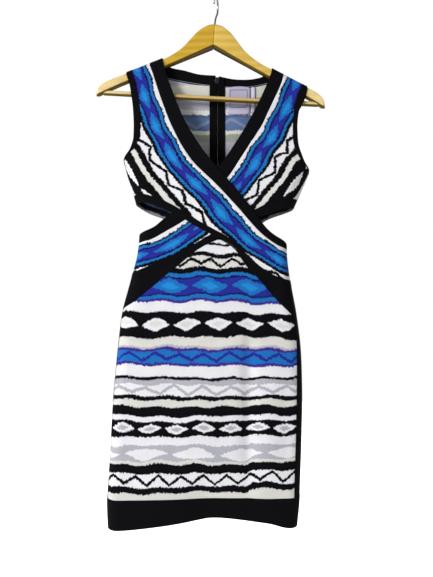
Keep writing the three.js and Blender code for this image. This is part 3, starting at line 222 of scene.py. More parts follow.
CUTOUT_LEFT = (
    ("left", -398), (-147, -400.5), (-140, -405), (-127, -412), (-105, -420), (-90, -427),
    (-83.5, -434), (-84.5, -441), (-95, -449), ("strip", -455), ("left", -456.5),
)
CUTOUT_RIGHT = (
    ("right", -404), (143.5, -406), (136, -409), (126, -412.5), (105, -420), (91, -427.5),
    (85.5, -435), (86, -443), (94, -453), ("strip", -464), ("right", -474.5),
)

# Skirt front: z, left x, right x
SKIRT_ROWS = (
    (-465, 1.5, 7), (-473, -16.5, 22), (-485, -37, 36), (-501, -57, 46.5), (-517, -75.9, 58),
    (-533.4, -96.7, 74), (-549, -115, 88), (-566, -135.2, 102), (-582, -155, 116.5),
    (-598, -175.2, 132.5), (-613, -177.3, 144.5), (-640, -179.9, 147), (-690, -185.6, 148.5),
    (-740, -190.2, 148.3), (-790, -194, 147.6), (-840, -196.9, 146.6), (-890, -199.9, 145),
    ("hem", -202.9, 143.9),
)
YOKE_FIRST_ROW = 2
YOKE_UNDER = 1.5
YOKE_LEFT = (-38.5, -60, -77, -94, -110, -127, -144, "left")
YOKE_RIGHT = (38.5, 50, 64, 81, 94, 108, 122, 134, "right")

# Back halves: zip side x, z and outer side x, z. Below the waist both sides share their heights
LOWER_HEIGHTS = (-490, -520, -556, -598, -640, -690, -740, -790, -840, -890, "hem")
BACK_LEFT_ROWS = (
    (-125, "seam", -157, "seam"), (-117, -143, -152, -168), (-104, -152, -147, -190),
    (-80, -158.5, -143, -214), (-45, -164.5, -141.5, -240), ("zip", -170, -142, -266),
    ("zip", -200, -151, -296), ("zip", -213, -162.5, -307), ("zip", -226, -171.5, -316),
    ("zip", -240, "left", -323), ("zip", -280, "left", -342), ("zip", -318, "left", -362),
    ("zip", -346, "left", -382), ("zip", -354, -149.5, -385.5), ("zip", -361, -140, -390),
    ("zip", -368, -122, -398), ("zip", -386, -96, -406), ("zip", -404, -78, -416),
    ("zip", -422, -69, -429), ("zip", -440, -70, -443), ("zip", -455, -84, -457),
    ("zip", -470, "strip", -468),
) + tuple(("zip", z, "strip", z) for z in LOWER_HEIGHTS)
BACK_RIGHT_ROWS = (
    (125.5, "seam", 159, "seam"), (117, -156, 151.5, -192), (103, -163, 146.5, -214),
    (80, -169, 143, -238), (45, -172.5, 141.4, -262), ("zip", -170, 143, -289),
    ("zip", -200, 153.5, -315), ("zip", -213, 163, -325.5), ("zip", -226, 170.5, -335),
    ("zip", -240, "right", -343), ("zip", -280, "right", -358), ("zip", -318, "right", -373),
    ("zip", -346, "right", -389), ("zip", -354, 147, -391.5), ("zip", -361, 138, -394.5),
    ("zip", -368, 122, -398), ("zip", -386, 96, -407), ("zip", -404, 80, -417),
    ("zip", -422, 71, -430), ("zip", -440, 71, -446), ("zip", -455, 82, -462),
    ("zip", -470, "strip", -476),
) + tuple(("zip", z, "strip", -492 if z == -490 else z) for z in LOWER_HEIGHTS)
STRIP_FRONT_LEFT = (
    ("left", -470.5), ("left", -505), ("left", -539), (-168.55, -568.5), (-175.2, -598), (-179.9, -640),
    (-185.6, -690), (-190.2, -740), (-194, -790), (-196.9, -840), (-199.9, -890), (-202.9, "hem"),
)
STRIP_FRONT_RIGHT = (
    ("right", -485), ("right", -505), ("right", -530), ("right", -555), (145.4, -613), (147.3, -640),
    (148.5, -690), (148.3, -740), (147.6, -790), (146.6, -840), (145, -890), (143.9, "hem"),
)
UNDERARM_ROW = 9
SIDE_END_ROW = 11
CUTOUT_ROW = 12
STRIP_ROW = 21

HEM_FRONT = (
    ("left", -1007), (-170, -1005), (-126, -1000.5), (-72, -993.5), (-33, -987.5), (-12, -984.5),
    (24, -984.5), (65, -988), (100, -992.5), (127, -999.5), ("right", -1004),
)
HEM_BACK = (
    ("right", -1004), (100, -997), (40, -992), (-30, -992), (-100, -996.5), (-165, -1004),
    ("left", -1007),
)


# Curves and tables


def smoothstep(t):
    t = np.clip(t, 0.0, 1.0)
    return t * t * (3 - 2 * t)


def hermite(knots, values):
    """A smooth function through rows of values at rising knots."""
    knots = np.asarray(knots, float)
    values = np.asarray(values, float)
    before = np.maximum(np.arange(len(knots)) - 1, 0)
    after = np.minimum(np.arange(len(knots)) + 1, len(knots) - 1)
    run = knots[after] - knots[before]
    slope = (values[after] - values[before]) / (run[:, None] if values.ndim > 1 else run)

    def at(where):
        where = np.clip(np.asarray(where, float), knots[0], knots[-1])
        i = np.clip(np.searchsorted(knots, where, side="right") - 1, 0, len(knots) - 2)
        h = knots[i + 1] - knots[i]
        t = (where - knots[i]) / h
        if values.ndim > 1:
            t = t[..., None]
            h = h[..., None]
        t2 = t * t
        t3 = t2 * t
        return ((2 * t3 - 3 * t2 + 1) * values[i] + (t3 - 2 * t2 + t) * h * slope[i]
                + (3 * t2 - 2 * t3) * values[i + 1] + (t3 - t2) * h * slope[i + 1])

    return at


RING_TABLE = np.array(RINGS, float)[::-1]
left_at = hermite(RING_TABLE[:, 0], RING_TABLE[:, 1])
right_at = hermite(RING_TABLE[:, 0], RING_TABLE[:, 2])
depth_at = hermite(RING_TABLE[:, 0], RING_TABLE[:, 3])


# The body surface


def ring_at(q):
    left, right, depth = left_at(q), right_at(q), depth_at(q)
    half = (right - left) / 2
    flat = half - depth
    return (left + right) / 2, half, depth, flat, flat + depth * math.pi / 2


def quarter_at(q):
    return ring_at(q)[4]


def shoulder_line(x):
    a = np.abs(x)
    slope = SHOULDER_Z - SHOULDER_SLOPE * (a - SHOULDER_X)
    bow = SHOULDER_Z + SHOULDER_SLOPE * (SHOULDER_X ** 2 - a * a) / (2 * SHOULDER_X)
    return np.where(a >= SHOULDER_X, slope, bow)


def arm_sweep(x):
    return -ARM_SWEEP * (x / ARM_SWEEP_AT) ** 2


def crest_at(x):
    c, s = math.cos(TILT), math.sin(TILT)
    along = np.asarray(x, float)
    for _ in range(6):
        along = (x - shoulder_line(along) * s) / c
    return -along * s + shoulder_line(along) * c + ARM_CLEAR, arm_sweep(along)


CREST_R = ARM_CORNER + ARM_CLEAR
CREST_FLAT = ARM_THICK / 2 - ARM_CORNER
CREST_DEEP = CREST_FLAT + CREST_R
CREST_FALL = 110.0
CREST_ARC = CREST_R * math.pi / 2


def seam_height(x):
    return float(crest_at(x)[0]) - CREST_R + CREST_ARC + CREST_FLAT


def fold_depth(front, x, z, folds=FOLDS):
    deep = np.zeros_like(x)
    for face, x1, z1, x2, z2, wide, depth in folds:
        dx, dz = x2 - x1, z2 - z1
        long2 = dx * dx + dz * dz
        t = ((x - x1) * dx + (z - z1) * dz) / long2
        off = ((x - x1) * dz - (z - z1) * dx) / math.sqrt(long2) / wide
        swell = np.sin(math.pi * np.clip(t, 0, 1)) ** 1.2
        deep += np.where(front == (face == "front"), depth * swell * np.exp(-off * off), 0)
    return deep


def body_point(s, q):
    """The point of the body surface at s round the body and q up the cloth, both arrays."""
    way = np.where(s < 0, -1.0, 1.0)
    a = np.abs(s)
    middle, _, depth, flat, quarter = ring_at(q)
    front = a < quarter
    facing = np.where(front, -1.0, 1.0)
    turn_end = flat + math.pi * depth
    phi = np.clip((a - flat) / depth, 0, math.pi)
    in_turn = (a > flat) & (a < turn_end)
    across = np.where(a <= flat, a, np.where(in_turn, flat + depth * np.sin(phi), flat - (a - turn_end)))
    turned = np.where(in_turn, -np.cos(phi), facing)
    x = middle + way * across
    crest_z, shift = crest_at(x)
    top = crest_z - CREST_R
    fall = smoothstep((top - q) / CREST_FALL)
    fold = fold_depth(front, x, q) * np.abs(turned) * fall
    y = turned * (CREST_DEEP + (depth - CREST_DEEP) * fall) - facing * fold + shift * (1 - fall)
    z = np.array(q, float)
    past = q - top
    angle = np.clip(past / CREST_R, 0, math.pi / 2)
    corner = (past > 0) & (past < CREST_ARC)
    y = np.where(corner, facing * (CREST_FLAT + CREST_R * np.cos(angle)) + shift, y)
    z = np.where(corner, top + CREST_R * np.sin(angle), z)
    flat_top = past >= CREST_ARC
    y = np.where(flat_top, facing * (CREST_FLAT - (past - CREST_ARC)) + shift, y)
    z = np.where(flat_top, crest_z, z)
    return np.stack([x, y, z], axis=-1)


def body_normal(s, q, step=0.25):
    ds = body_point(s + step, q) - body_point(s - step, q)
    dq = body_point(s, q + step) - body_point(s, q - step)
    n = np.cross(ds, dq)
    return n / np.linalg.norm(n, axis=-1, keepdims=True)


def front_s(x, z):
    middle, half, depth, flat, _ = ring_at(z)
    off = min(half, abs(x - middle))
    way = -1 if x < middle else 1
    if off <= flat:
        return way * off
    return way * (flat + depth * math.asin((off - flat) / depth))


def back_s(x, z, way):
    middle, _, depth, flat, quarter = ring_at(z)
    off = (x - middle) * way
    if off <= flat:
        return way * (2 * quarter - off)
    return way * (2 * quarter - flat - depth * math.asin(min(1, (off - flat) / depth)))


def hem_top_at(w):
    a = np.abs(w)
    return HEM_TOP + HEM_TOP_RISE * np.sign(w) * np.where(a <= 1, a, 2 - a)


def place(face, way, x, z):
    """Turns a table's place into (w, q)."""
    q = z
    if z == "seam":
        q = seam_height(x)
    if z == "hem":
        q = HEM_TOP
    quarter = float(quarter_at(q))
    if x == "left":
        w = -1.0
    elif x == "right":
        w = 1.0
    elif x == "strip":
        w = way * (1 + STRIP_BACK / quarter)
    elif x == "zip":
        w = way * (2 - (way * ZIP_OFF + (0 if q < ZIP_END else ZIP_GAP / 2)) / quarter)
    else:
        w = (front_s(x, q) if face == "front" else back_s(x, q, way)) / quarter
    return (float(w), float(hem_top_at(w)) if z == "hem" else float(q))


CREST_ROWS = 4


def curve_of(table, face, way):
    """The (w, q) points of a table of x, z. A row on the shoulder seam gets four more round the arm."""
    points = []
    for x, z in table:
        w, q = place(face, way, x, z)
        points.append((w, q))
        if z == "seam":
            for part in (1, 2 / 3, 1 / 3, 0):
                points.append((w, q - CREST_FLAT - CREST_ARC * (1 - part)))
    return np.array(points)


class Curve:
    """A smooth curve through (w, q) points, read by row number or by share of its length."""

    def __init__(self, points):
        self.points = np.asarray(points, float)
        quarter = quarter_at((self.points[1:, 1] + self.points[:-1, 1]) / 2)
        step = self.points[1:] - self.points[:-1]
        self.far = np.concatenate([[0], np.cumsum(np.hypot(step[:, 0] * quarter, step[:, 1]))])
        self.rows = np.arange(len(self.points))
        self.at_far = hermite(self.far, self.points)

    def length_at(self, row):
        return np.interp(row, self.rows, self.far)

    def by_row(self, row):
        return self.at_far(self.length_at(row))

    def by_share(self, share):
        return self.at_far(share * self.far[-1])


class Matched(Curve):
    """A free edge read by the row numbers of the seam that it runs beside."""

    def __init__(self, points, seam):
        super().__init__(points)
        self.seam = seam

    def by_row(self, row):
        return self.by_share(self.seam.length_at(row) / self.seam.far[-1])


# Lift of the top front piece over the other one
CROSS_UPPER = (10, -318, -0.745, -0.667)
CROSS_LOWER = (84, -424, -0.894, -0.448)
CROSS_EASE = 34.0
RIDGE = {"x": 22, "z": -372, "dx": 0.62, "dz": -0.785, "long": 165, "wide": 13, "high": 2.2}


def over_lift(p):
    x, z = p[..., 0], p[..., 2]

    def beyond(line, sign):
        lx, lz, dx, dz = line
        return sign * ((x - lx) * dz - (z - lz) * dx)

    away = np.maximum(np.maximum(beyond(CROSS_UPPER, 1), beyond(CROSS_LOWER, -1)), 0)
    along = (x - RIDGE["x"]) * RIDGE["dx"] + (z - RIDGE["z"]) * RIDGE["dz"]
    off = ((x - RIDGE["x"]) * RIDGE["dz"] - (z - RIDGE["z"]) * RIDGE["dx"]) / RIDGE["wide"]
    ridge = RIDGE["high"] * np.sin(math.pi * np.clip(along / RIDGE["long"], 0, 1)) * np.exp(-off * off)
    return LAYER_LIFT * (1 - smoothstep(away / CROSS_EASE)) + ridge


def no_lift(p):
    return np.zeros(p.shape[:-1])


# Meshes


def link(name, mesh, node, body="dress"):
    """The object of a mesh: it rides a body and stands for one of the frame's nodes."""
    ob = bpy.data.objects.new(name, mesh)
    bpy.context.scene.collection.objects.link(ob)
    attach(ob, body)
    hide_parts(node)
    return ob


def mesh_from(name, verts, faces):
    mesh = bpy.data.meshes.new(name)
    mesh.from_pydata([tuple(v) for v in np.asarray(verts) * MM], [], faces)
    mesh.polygons.foreach_set("use_smooth", [True] * len(mesh.polygons))
    mesh.update()
    return mesh


def mesh_of(name, bm, material):
    mesh = bpy.data.meshes.new(name)
    bm.to_mesh(mesh)
    bm.free()
    mesh.materials.append(material)
    return mesh


def outward(mesh):
    bm = bmesh.new()
    bm.from_mesh(mesh)
    bmesh.ops.recalc_face_normals(bm, faces=bm.faces)
    bm.to_mesh(mesh)
    bm.free()
    return mesh


# Rows of points beside a border, in mm, and beside a piece's ends, as shares of a row
RIM_STEPS = (0.5, 1.3)
RIM_CLEAR = 2.2
RIM_LEAST = 8
END_STEPS = (0.15, 0.42)

# Rounding of a shell's rim, as a share of its wall, and how much of it is on the inside
RIM_SHARE = 0.42
RIM_INSIDE = 0.6


def spread(total):
    """Places from 0 to 1 along a length, closer together at its ends."""
    count = max(2, int(math.ceil(total / FINE)))
    even = list(np.linspace(0, 1, count + 1))
    if total > RIM_LEAST:
        near = [step / total for step in RIM_STEPS]
        clear = RIM_CLEAR / total
        even = [0] + near + [t for t in even if clear < t < 1 - clear]
        even += [1 - t for t in reversed(near)] + [1]
    return np.array(even)


def ruled(curve_a, curve_b):
    """Rows of (w, q) between two curves, with the distances from each border."""
    def at(curve, row):
        return body_of(curve.by_row(np.array(float(row))))

    last = len((curve_b if isinstance(curve_a, Matched) else curve_a).rows) - 1
    rows = []
    for i in range(last):
        longest = max(np.linalg.norm(at(curve, i + 1) - at(curve, i)) for curve in (curve_a, curve_b))
        count = max(1, int(math.ceil(longest / FINE)))
        rows.extend(i + k / count for k in range(count))
    rows.append(float(last))
    first, final = rows[1] - rows[0], rows[-1] - rows[-2]
    rows[1:1] = [rows[0] + first * step for step in END_STEPS]
    rows[-1:-1] = [rows[-1] - final * step for step in reversed(END_STEPS)]
    rows = np.array(rows)
    a = curve_a.by_row(rows)
    b = curve_b.by_row(rows)
    quarter = quarter_at((a[:, 1] + b[:, 1]) / 2)
    wide = np.maximum(np.hypot((b[:, 0] - a[:, 0]) * quarter, b[:, 1] - a[:, 1]), 0.5)
    cols = spread(float(np.median(wide)))
    cut = -np.minimum(0.3, SEAM_LAP / wide)[:, None]
    share = cut + (1 - 2 * cut) * cols[None, :]
    grid = a[:, None, :] + (b - a)[:, None, :] * share[..., None]
    return rows, grid, share * wide[:, None], (1 - share) * wide[:, None]


def wrapped(w):
    return np.where(np.abs(w) > 2, w - 4 * np.sign(w), w)


def body_of(wq):
    w, q = wq[..., 0], wq[..., 1]
    return body_point(wrapped(w) * quarter_at(q), q)


def shell(name, grid, edges, wall, lift, coords):
    """A closed thin shell with rounded rims. `coords` are the cloth's own u and v in millimetres, and
    the attribute's third value is the distance to the second border."""
    w, q = wrapped(grid[..., 0]), grid[..., 1]
    s = w * quarter_at(q)
    base = body_point(s, q)
    normal = body_normal(s, q)
    base = base + normal * lift(base)[..., None]
    r = wall * RIM_SHARE
    near = np.clip(np.minimum.reduce(edges) / r, 0, 1)
    dip = r * (1 - np.sqrt(np.clip(1 - (1 - near) ** 2, 0, 1)))
    extra = -fold_depth(normal[..., 1] < 0, base[..., 0], base[..., 2], CREASES) * np.abs(normal[..., 1])
    outer = base + normal * (wall - dip + extra)[..., None]
    inner = base + normal * (dip * RIM_INSIDE + extra)[..., None]
    rows, cols = w.shape
    verts = np.concatenate([inner.reshape(-1, 3), outer.reshape(-1, 3)])
    n = rows * cols
    index = np.arange(n).reshape(rows, cols)
    a, b = index[:-1, :-1].ravel(), index[1:, :-1].ravel()
    c, d = index[1:, 1:].ravel(), index[:-1, 1:].ravel()
    outside = np.stack([a + n, b + n, c + n, d + n], axis=1)
    inside = np.stack([a, d, c, b], axis=1)
    rim = []
    for line in (index[0, :], index[-1, ::-1], index[::-1, 0], index[:, -1]):
        for i, j in zip(line[:-1], line[1:]):
            rim.append((i, i + n, j + n, j))
    faces = [tuple(int(k) for k in f) for f in (*outside, *inside, *rim)]
    mesh = outward(mesh_from(name, verts, faces))
    u, v = coords
    both = np.concatenate([np.stack([u.ravel(), v.ravel(), edges[1].ravel()], 1)] * 2)
    layer = mesh.attributes.new("cloth", "FLOAT_VECTOR", "POINT")
    layer.data.foreach_set("vector", both.astype(np.float32).ravel())
    return mesh, len(outside), cell_area(outer)


def cell_area(points):
    d1 = points[1:, 1:] - points[:-1, :-1]
    d2 = points[:-1, 1:] - points[1:, :-1]
    return float(np.linalg.norm(np.cross(d1, d2), axis=-1).sum() / 2)


def smaller_cut(strip, grid):
    """The smaller rectangle that the flat piece is cut from: a straight strip or a box round it."""
    flat = np.stack([grid[..., 0] * quarter_at(grid[..., 1]), grid[..., 1]], -1).reshape(-1, 2)
    best = strip
    for degrees in range(0, 180, 3):
        a = math.radians(degrees)
        turned = flat @ np.array([[math.cos(a), -math.sin(a)], [math.sin(a), math.cos(a)]])
        size = np.ptp(turned, axis=0)
        if size[0] * size[1] < best[0] * best[1]:
            best = (float(size.min()), float(size.max()))
    return best


FOLD_X, FOLD_SOFT = 61.0, 7.0
FOLD_HIGH, FOLD_LOW = (-590.0, -3.5), (-900.0, 6.5)


def fold_shift(p):
    """How far the stripes rise to the right of the skirt's main fold: z and rise at two heights."""
    past = smoothstep((p[..., 0] - FOLD_X) / FOLD_SOFT / 2 + 0.5)
    return past * np.interp(-p[..., 2], (-FOLD_HIGH[0], -FOLD_LOW[0]), (FOLD_HIGH[1], FOLD_LOW[1]))


def cloth(name, curve_a, curve_b, wall, materials, lift=no_lift, peak=None, shift=None):
    """One cloth piece: its shell, materials, ride and flat cut."""
    rows, grid, from_a, from_b = ruled(curve_a, curve_b)
    lead = curve_b if isinstance(curve_a, Matched) else curve_a
    along = np.broadcast_to(lead.length_at(rows)[:, None], from_a.shape)
    ends = np.minimum(along, lead.far[-1] - along)
    uv = (along, from_a)
    if peak is not None:
        down = peak - grid[..., 1]
        if shift:
            down = down + shift(body_of(grid))
        uv = (grid[..., 0] * quarter_at(grid[..., 1]), down)
    mesh, cells, area = shell(name, grid, (from_a, from_b, ends + 0.01), wall, lift, uv)
    for material in materials:
        mesh.materials.append(material)
    which = np.zeros(len(mesh.polygons), int)
    which[cells:2 * cells] = 1
    mesh.polygons.foreach_set("material_index", which)
    ob = link(name + "_cloth", mesh, name)
    strip = (float((from_a + from_b).max()), float(max(curve_a.far[-1], curve_b.far[-1])))
    wide, long = smaller_cut(strip, grid)


SKIRT_PEAK = -463.0
BACK_PEAK = SKIRT_PEAK + 323.0


# Colours, linear


def rgb(r, g, b):
    def linear(c):
        c /= 255
        return c / 12.92 if c <= 0.04045 else ((c + 0.055) / 1.055) ** 2.4
    return (linear(r), linear(g), linear(b), 1.0)


OUTSIDE = {
    "white": rgb(218, 218, 222),
    "pearl": rgb(205, 204, 199),
    "mist": rgb(168, 168, 176),
    "sage": rgb(174, 174, 166),
    "black": rgb(7, 7, 11),
    "sky": rgb(34, 128, 200),
    "azure": rgb(28, 104, 176),
    "royal": rgb(36, 42, 140),
    "violet": rgb(56, 42, 132),
    "navy": rgb(16, 16, 54),
}
INSIDE = {
    "white": rgb(212, 212, 206),
    "pearl": rgb(202, 201, 192),
    "mist": rgb(172, 172, 184),
    "sage": rgb(154, 157, 147),
    "black": rgb(146, 146, 158),
    "sky": rgb(122, 138, 170),
    "azure": rgb(92, 114, 154),
    "royal": rgb(82, 98, 140),
    "violet": rgb(98, 106, 146),
    "navy": rgb(78, 86, 122),
}

# Stripes from the skirt's peak to the hem: height and ground, then what lies on it. That is nothing,
# a zigzag as colour and period, or lozenges as colour, heart, period, phase and share of the period
SKIRT_STRIPES = (
    (9, "white"), (4, "black"), (13, "white"), (8, "black"), (20, "pearl", "black", 38), (9, "black"),
    (7, "azure"), (3, "navy"), (29, "royal", "azure", "sky", 74, 0.1, 0.9), (3, "navy"), (7, "azure"),
    (5, "violet"), (19, "white"), (10, "black"), (24, "black", "white", "pearl", 58, 0.3, 0.88),
    (13, "black"), (15, "pearl"), (5, "mist"), (5, "violet"), (21, "azure", "royal", 46), (6, "violet"),
    (20, "white"), (5, "black"), (9, "mist"), (22, "white", "mist", 52), (7, "black"), (13, "pearl"),
    (17, "black"), (9, "white"), (5, "black"), (19, "black", "white", "mist", 50, 0.6, 0.88),
    (6, "black"), (16, "white"), (5, "mist"), (24, "mist", "white", "white", 88, 0.2, 0.92), (6, "pearl"),
    (17, "black"), (24, "white", "black", 42), (12, "black"), (20, "pearl"),
)

# The back's stripes start at the neck and run on into the skirt's
BACK_TOP_STRIPES = (
    (26, "mist"), (22, "pearl"), (4, "sage"), (18, "mist"), (9, "white"), (5, "royal"),
    (24, "azure", "sky", 60), (8, "white"), (15, "sage"), (21, "mist"), (12, "black"),
    (24, "white", "black", 42), (12, "black"), (12, "pearl"),
    (24, "black", "white", "pearl", 58, 0.2, 0.88), (8, "azure"), (22, "royal", "azure", "sky", 74, 0.4, 0.9),
    (8, "azure"), (14, "white"), (19, "black"), (16, "pearl"),
)

# The same outwards from the neck seam of the two front pieces
BODICE_STRIPES = (
    (6, "white"), (3, "black"), (5, "azure"), (3, "navy"), (19, "royal", "azure", "sky", 64, 0.1, 0.9),
    (3, "navy"), (5, "azure"), (6, "black"), (21, "white", "black", 46), (11, "black"), (10, "pearl"),
    (15, "black"), (17, "black", "white", "pearl", 54, 0.4, 0.88), (12, "black"), (12, "pearl"), (9, "black"),
)


class Graph:
    """Short names for the nodes of one material or group."""

    def __init__(self, tree):
        self.tree = tree

    def node(self, kind, **settings):
        made = self.tree.nodes.new(kind)
        for key, value in settings.items():
            setattr(made, key, value)
        return made

    def put(self, socket, value):
        if isinstance(value, bpy.types.NodeSocket):
            self.tree.links.new(value, socket)
        else:
            socket.default_value = value

    def fill(self, made, values):
        for key, value in values.items():
            self.put(made.inputs[key], value)
        return made

    def add(self, a, b):
        return self.math("ADD", a, b)

    def sub(self, a, b):
        return self.math("SUBTRACT", a, b)

    def mul(self, a, b):
        return self.math("MULTIPLY", a, b)

    def div(self, a, b):
        return self.math("DIVIDE", a, b)

    def abs(self, a):
        return self.math("ABSOLUTE", a)

    def math(self, operation, *values):
        made = self.node("ShaderNodeMath", operation=operation)
        for socket, value in zip(made.inputs, values):
            self.put(socket, value)
        return made.outputs[0]

    def mix(self, factor, a, b, blend="MIX"):
        made = self.node("ShaderNodeMix", data_type="RGBA", blend_type=blend)
        self.put(made.inputs[0], factor)
        self.put(made.inputs[6], a)
        self.put(made.inputs[7], b)
        return made.outputs[2]

    def noise(self, vector, scale, detail=2.0, rough=0.5):
        made = self.node("ShaderNodeTexNoise")
        values = {"Vector": vector, "Scale": scale, "Detail": detail, "Roughness": rough}
        return self.fill(made, values).outputs["Fac"]

    def streaks(self, u, v, across, down, detail=1.0, rough=0.5):
        """Noise with a scale of its own along u and along v."""
        return self.noise(self.vector(self.mul(u, across), self.mul(v, down)), 1.0, detail, rough)

    def ease(self, value, start, end, high=1.0):
        """From 0 to `high` between two values."""
        made = self.node("ShaderNodeMapRange", interpolation_type="SMOOTHSTEP")
        values = {"Value": value, "From Min": start, "From Max": end, "To Max": high}
        return self.fill(made, values).outputs["Result"]

    def bump(self, shader, height, strength, depth):
        """Relief with a depth in millimetres."""
        made = self.node("ShaderNodeBump")
        self.fill(made, {"Strength": strength, "Distance": depth * MM, "Height": height})
        self.put(shader.inputs["Normal"], made.outputs[0])

    def vector(self, x, y, z=0.0):
        made = self.node("ShaderNodeCombineXYZ")
        for socket, value in zip(made.inputs, (x, y, z)):
            self.put(socket, value)
        return made.outputs[0]

    def split(self, vector):
        made = self.node("ShaderNodeSeparateXYZ")
        self.put(made.inputs[0], vector)
        return tuple(made.outputs)

    def cloth(self):
        """The cloth's own u and v, and the distance to its second border, in millimetres."""
        return self.split(self.node("ShaderNodeAttribute", attribute_name="cloth").outputs["Vector"])


def new_material(name):
    material = bpy.data.materials.new(name)
    material.use_nodes = True
    tree = material.node_tree
    tree.nodes.clear()
    graph = Graph(tree)
    shader = graph.node("ShaderNodeBsdfPrincipled")
    out = graph.node("ShaderNodeOutputMaterial")
    tree.links.new(shader.outputs[0], out.inputs[0])
    return material, graph, shader


def triangle(g, u, period):
    """A zigzag from -1 to 1 along u."""
    cycle = g.math("FRACT", g.div(u, period))
    return g.sub(g.mul(g.abs(g.sub(cycle, 0.5)), 4.0), 1.0)


# Size of a lozenge's heart
HEART = 0.46


def motif_group():
    """A row of lozenges, each with a smaller one inside."""
    tree = bpy.data.node_groups.new("motif_row", "ShaderNodeTree")
    for name in ("u", "v", "middle", "half", "period", "phase", "share"):
        tree.interface.new_socket(name, in_out="INPUT", socket_type="NodeSocketFloat")
    tree.interface.new_socket("mask", in_out="OUTPUT", socket_type="NodeSocketFloat")
    tree.interface.new_socket("heart", in_out="OUTPUT", socket_type="NodeSocketFloat")
    g = Graph(tree)
    given = g.node("NodeGroupInput").outputs
    cycle = g.math("FRACT", g.add(g.div(given["u"], given["period"]), given["phase"]))
    a = g.div(g.mul(g.abs(g.sub(cycle, 0.5)), 2.0), given["share"])
    b = g.div(g.abs(g.sub(given["v"], given["middle"])), given["half"])
    total = g.add(g.math("POWER", a, 1.15), g.math("POWER", b, 1.15))
    out = g.node("NodeGroupOutput")
    g.put(out.inputs[0], g.math("LESS_THAN", total, 1.0))
    g.put(out.inputs[1], g.math("LESS_THAN", total, HEART))
    return tree


MOTIF_ROW = motif_group()


# One stitch's width and height, and the depth of the relief
WALE, COURSE, STITCH_DEEP = 1.3, 1.0, 0.35


def knit_height(g, u, v):
    """Rows of knitted stitches: each wale is a column of slanting loops."""
    side = g.abs(triangle(g, u, WALE))
    loop = g.math("SINE", g.mul(g.add(g.div(v, COURSE), g.mul(side, 0.45)), 2 * math.pi))
    return g.mul(g.sub(1.0, g.math("POWER", side, 2.0)), g.add(0.7, g.mul(loop, 0.3)))


RAMP_STOPS = 30


def stripe_ground(g, level, stripes, palette):
    """The stripes' grounds, in as many ramps as they need."""
    colour, start = None, 0.0
    for first in range(0, len(stripes), RAMP_STOPS):
        rows = stripes[first:first + RAMP_STOPS]
        total = float(sum(row[0] for row in rows))
        ramp = g.node("ShaderNodeValToRGB")
        ramp.color_ramp.interpolation = "CONSTANT"
        g.put(ramp.inputs[0], g.div(g.sub(level, start), total))
        ramp.color_ramp.elements.remove(ramp.color_ramp.elements[-1])
        down = 0.0
        for i, row in enumerate(rows):
            stop = ramp.color_ramp.elements[0] if i == 0 else ramp.color_ramp.elements.new(down / total)
            stop.position = down / total
            stop.color = palette[row[1]]
            down += row[0]
        here = ramp.outputs[0]
        colour = g.mix(g.math("GREATER_THAN", level, start), colour, here) if first else here
        start += total
    return colour


# The stripes' teeth, their ragged edge, their wave and their slow wandering, in mm
TOOTH, TOOTH_HIGH, TOOTH_SHIFT = 6.2, 0.9, 22.0
COMB_HIGH = 8.5
WAVE_LONG, WAVE_HIGH, WAVE_TURN = 10.5, 1.8, 60.0
WANDER_HIGH = 12.0

# The line of a zigzag, how much of it keeps clear of the stripe's edge, and a lozenge's half height
ZIGZAG, ZIGZAG_CLEAR = 6.4, 0.6
LOZENGE_HALF = 0.48


def stripe_knit(name, stripes, palette, seed, motifs=True, swing=1.0):
    """Jacquard knit: toothed stripes with zigzags and lozenges. `swing` is how much the stripes wave."""
    material, g, shader = new_material(name)
    u, v, _ = g.cloth()
    along = g.add(u, seed)
    wander = g.noise(g.vector(along, v), 0.014, 1.0)
    turn = g.mul(g.noise(g.vector(0.0, g.mul(v, 0.03)), 1.0, 1.0), WAVE_TURN)
    wave = g.mul(g.math("SINE", g.div(g.add(along, turn), WAVE_LONG)), WAVE_HIGH * swing)
    uneven = g.streaks(along, v, 0.11, 0.05)
    teeth = triangle(g, g.add(along, g.mul(uneven, TOOTH_SHIFT)), TOOTH)
    comb = g.streaks(along, v, 0.3, 0.08, 2.0, 0.7)
    drift = g.add(wave, g.mul(g.sub(wander, 0.5), WANDER_HIGH * swing))
    ragged = g.add(g.mul(teeth, TOOTH_HIGH), g.mul(g.sub(comb, 0.5), COMB_HIGH))
    level = g.add(v, g.add(drift, ragged))
    colour = stripe_ground(g, level, stripes, palette)
    down = 0.0
    for height, _, *motif in stripes:
        middle = down + height / 2
        down += height
        if not (motif and motifs):
            continue
        if len(motif) == 2:
            tone, period = motif
            rise = g.mul(triangle(g, along, period), height / 2 - ZIGZAG * ZIGZAG_CLEAR)
            gap = g.abs(g.sub(g.sub(level, middle), rise))
            colour = g.mix(g.math("LESS_THAN", gap, ZIGZAG / 2), colour, palette[tone])
            continue
        tone, heart, period, phase, share = motif
        row = g.node("ShaderNodeGroup", node_tree=MOTIF_ROW)
        g.fill(row, {"u": along, "v": level, "middle": middle, "half": height * LOZENGE_HALF,
                     "period": period, "phase": phase, "share": share})
        colour = g.mix(row.outputs[0], colour, palette[tone])
        colour = g.mix(row.outputs[1], colour, palette[heart])
    finish_knit(g, shader, colour, u, v)
    return material


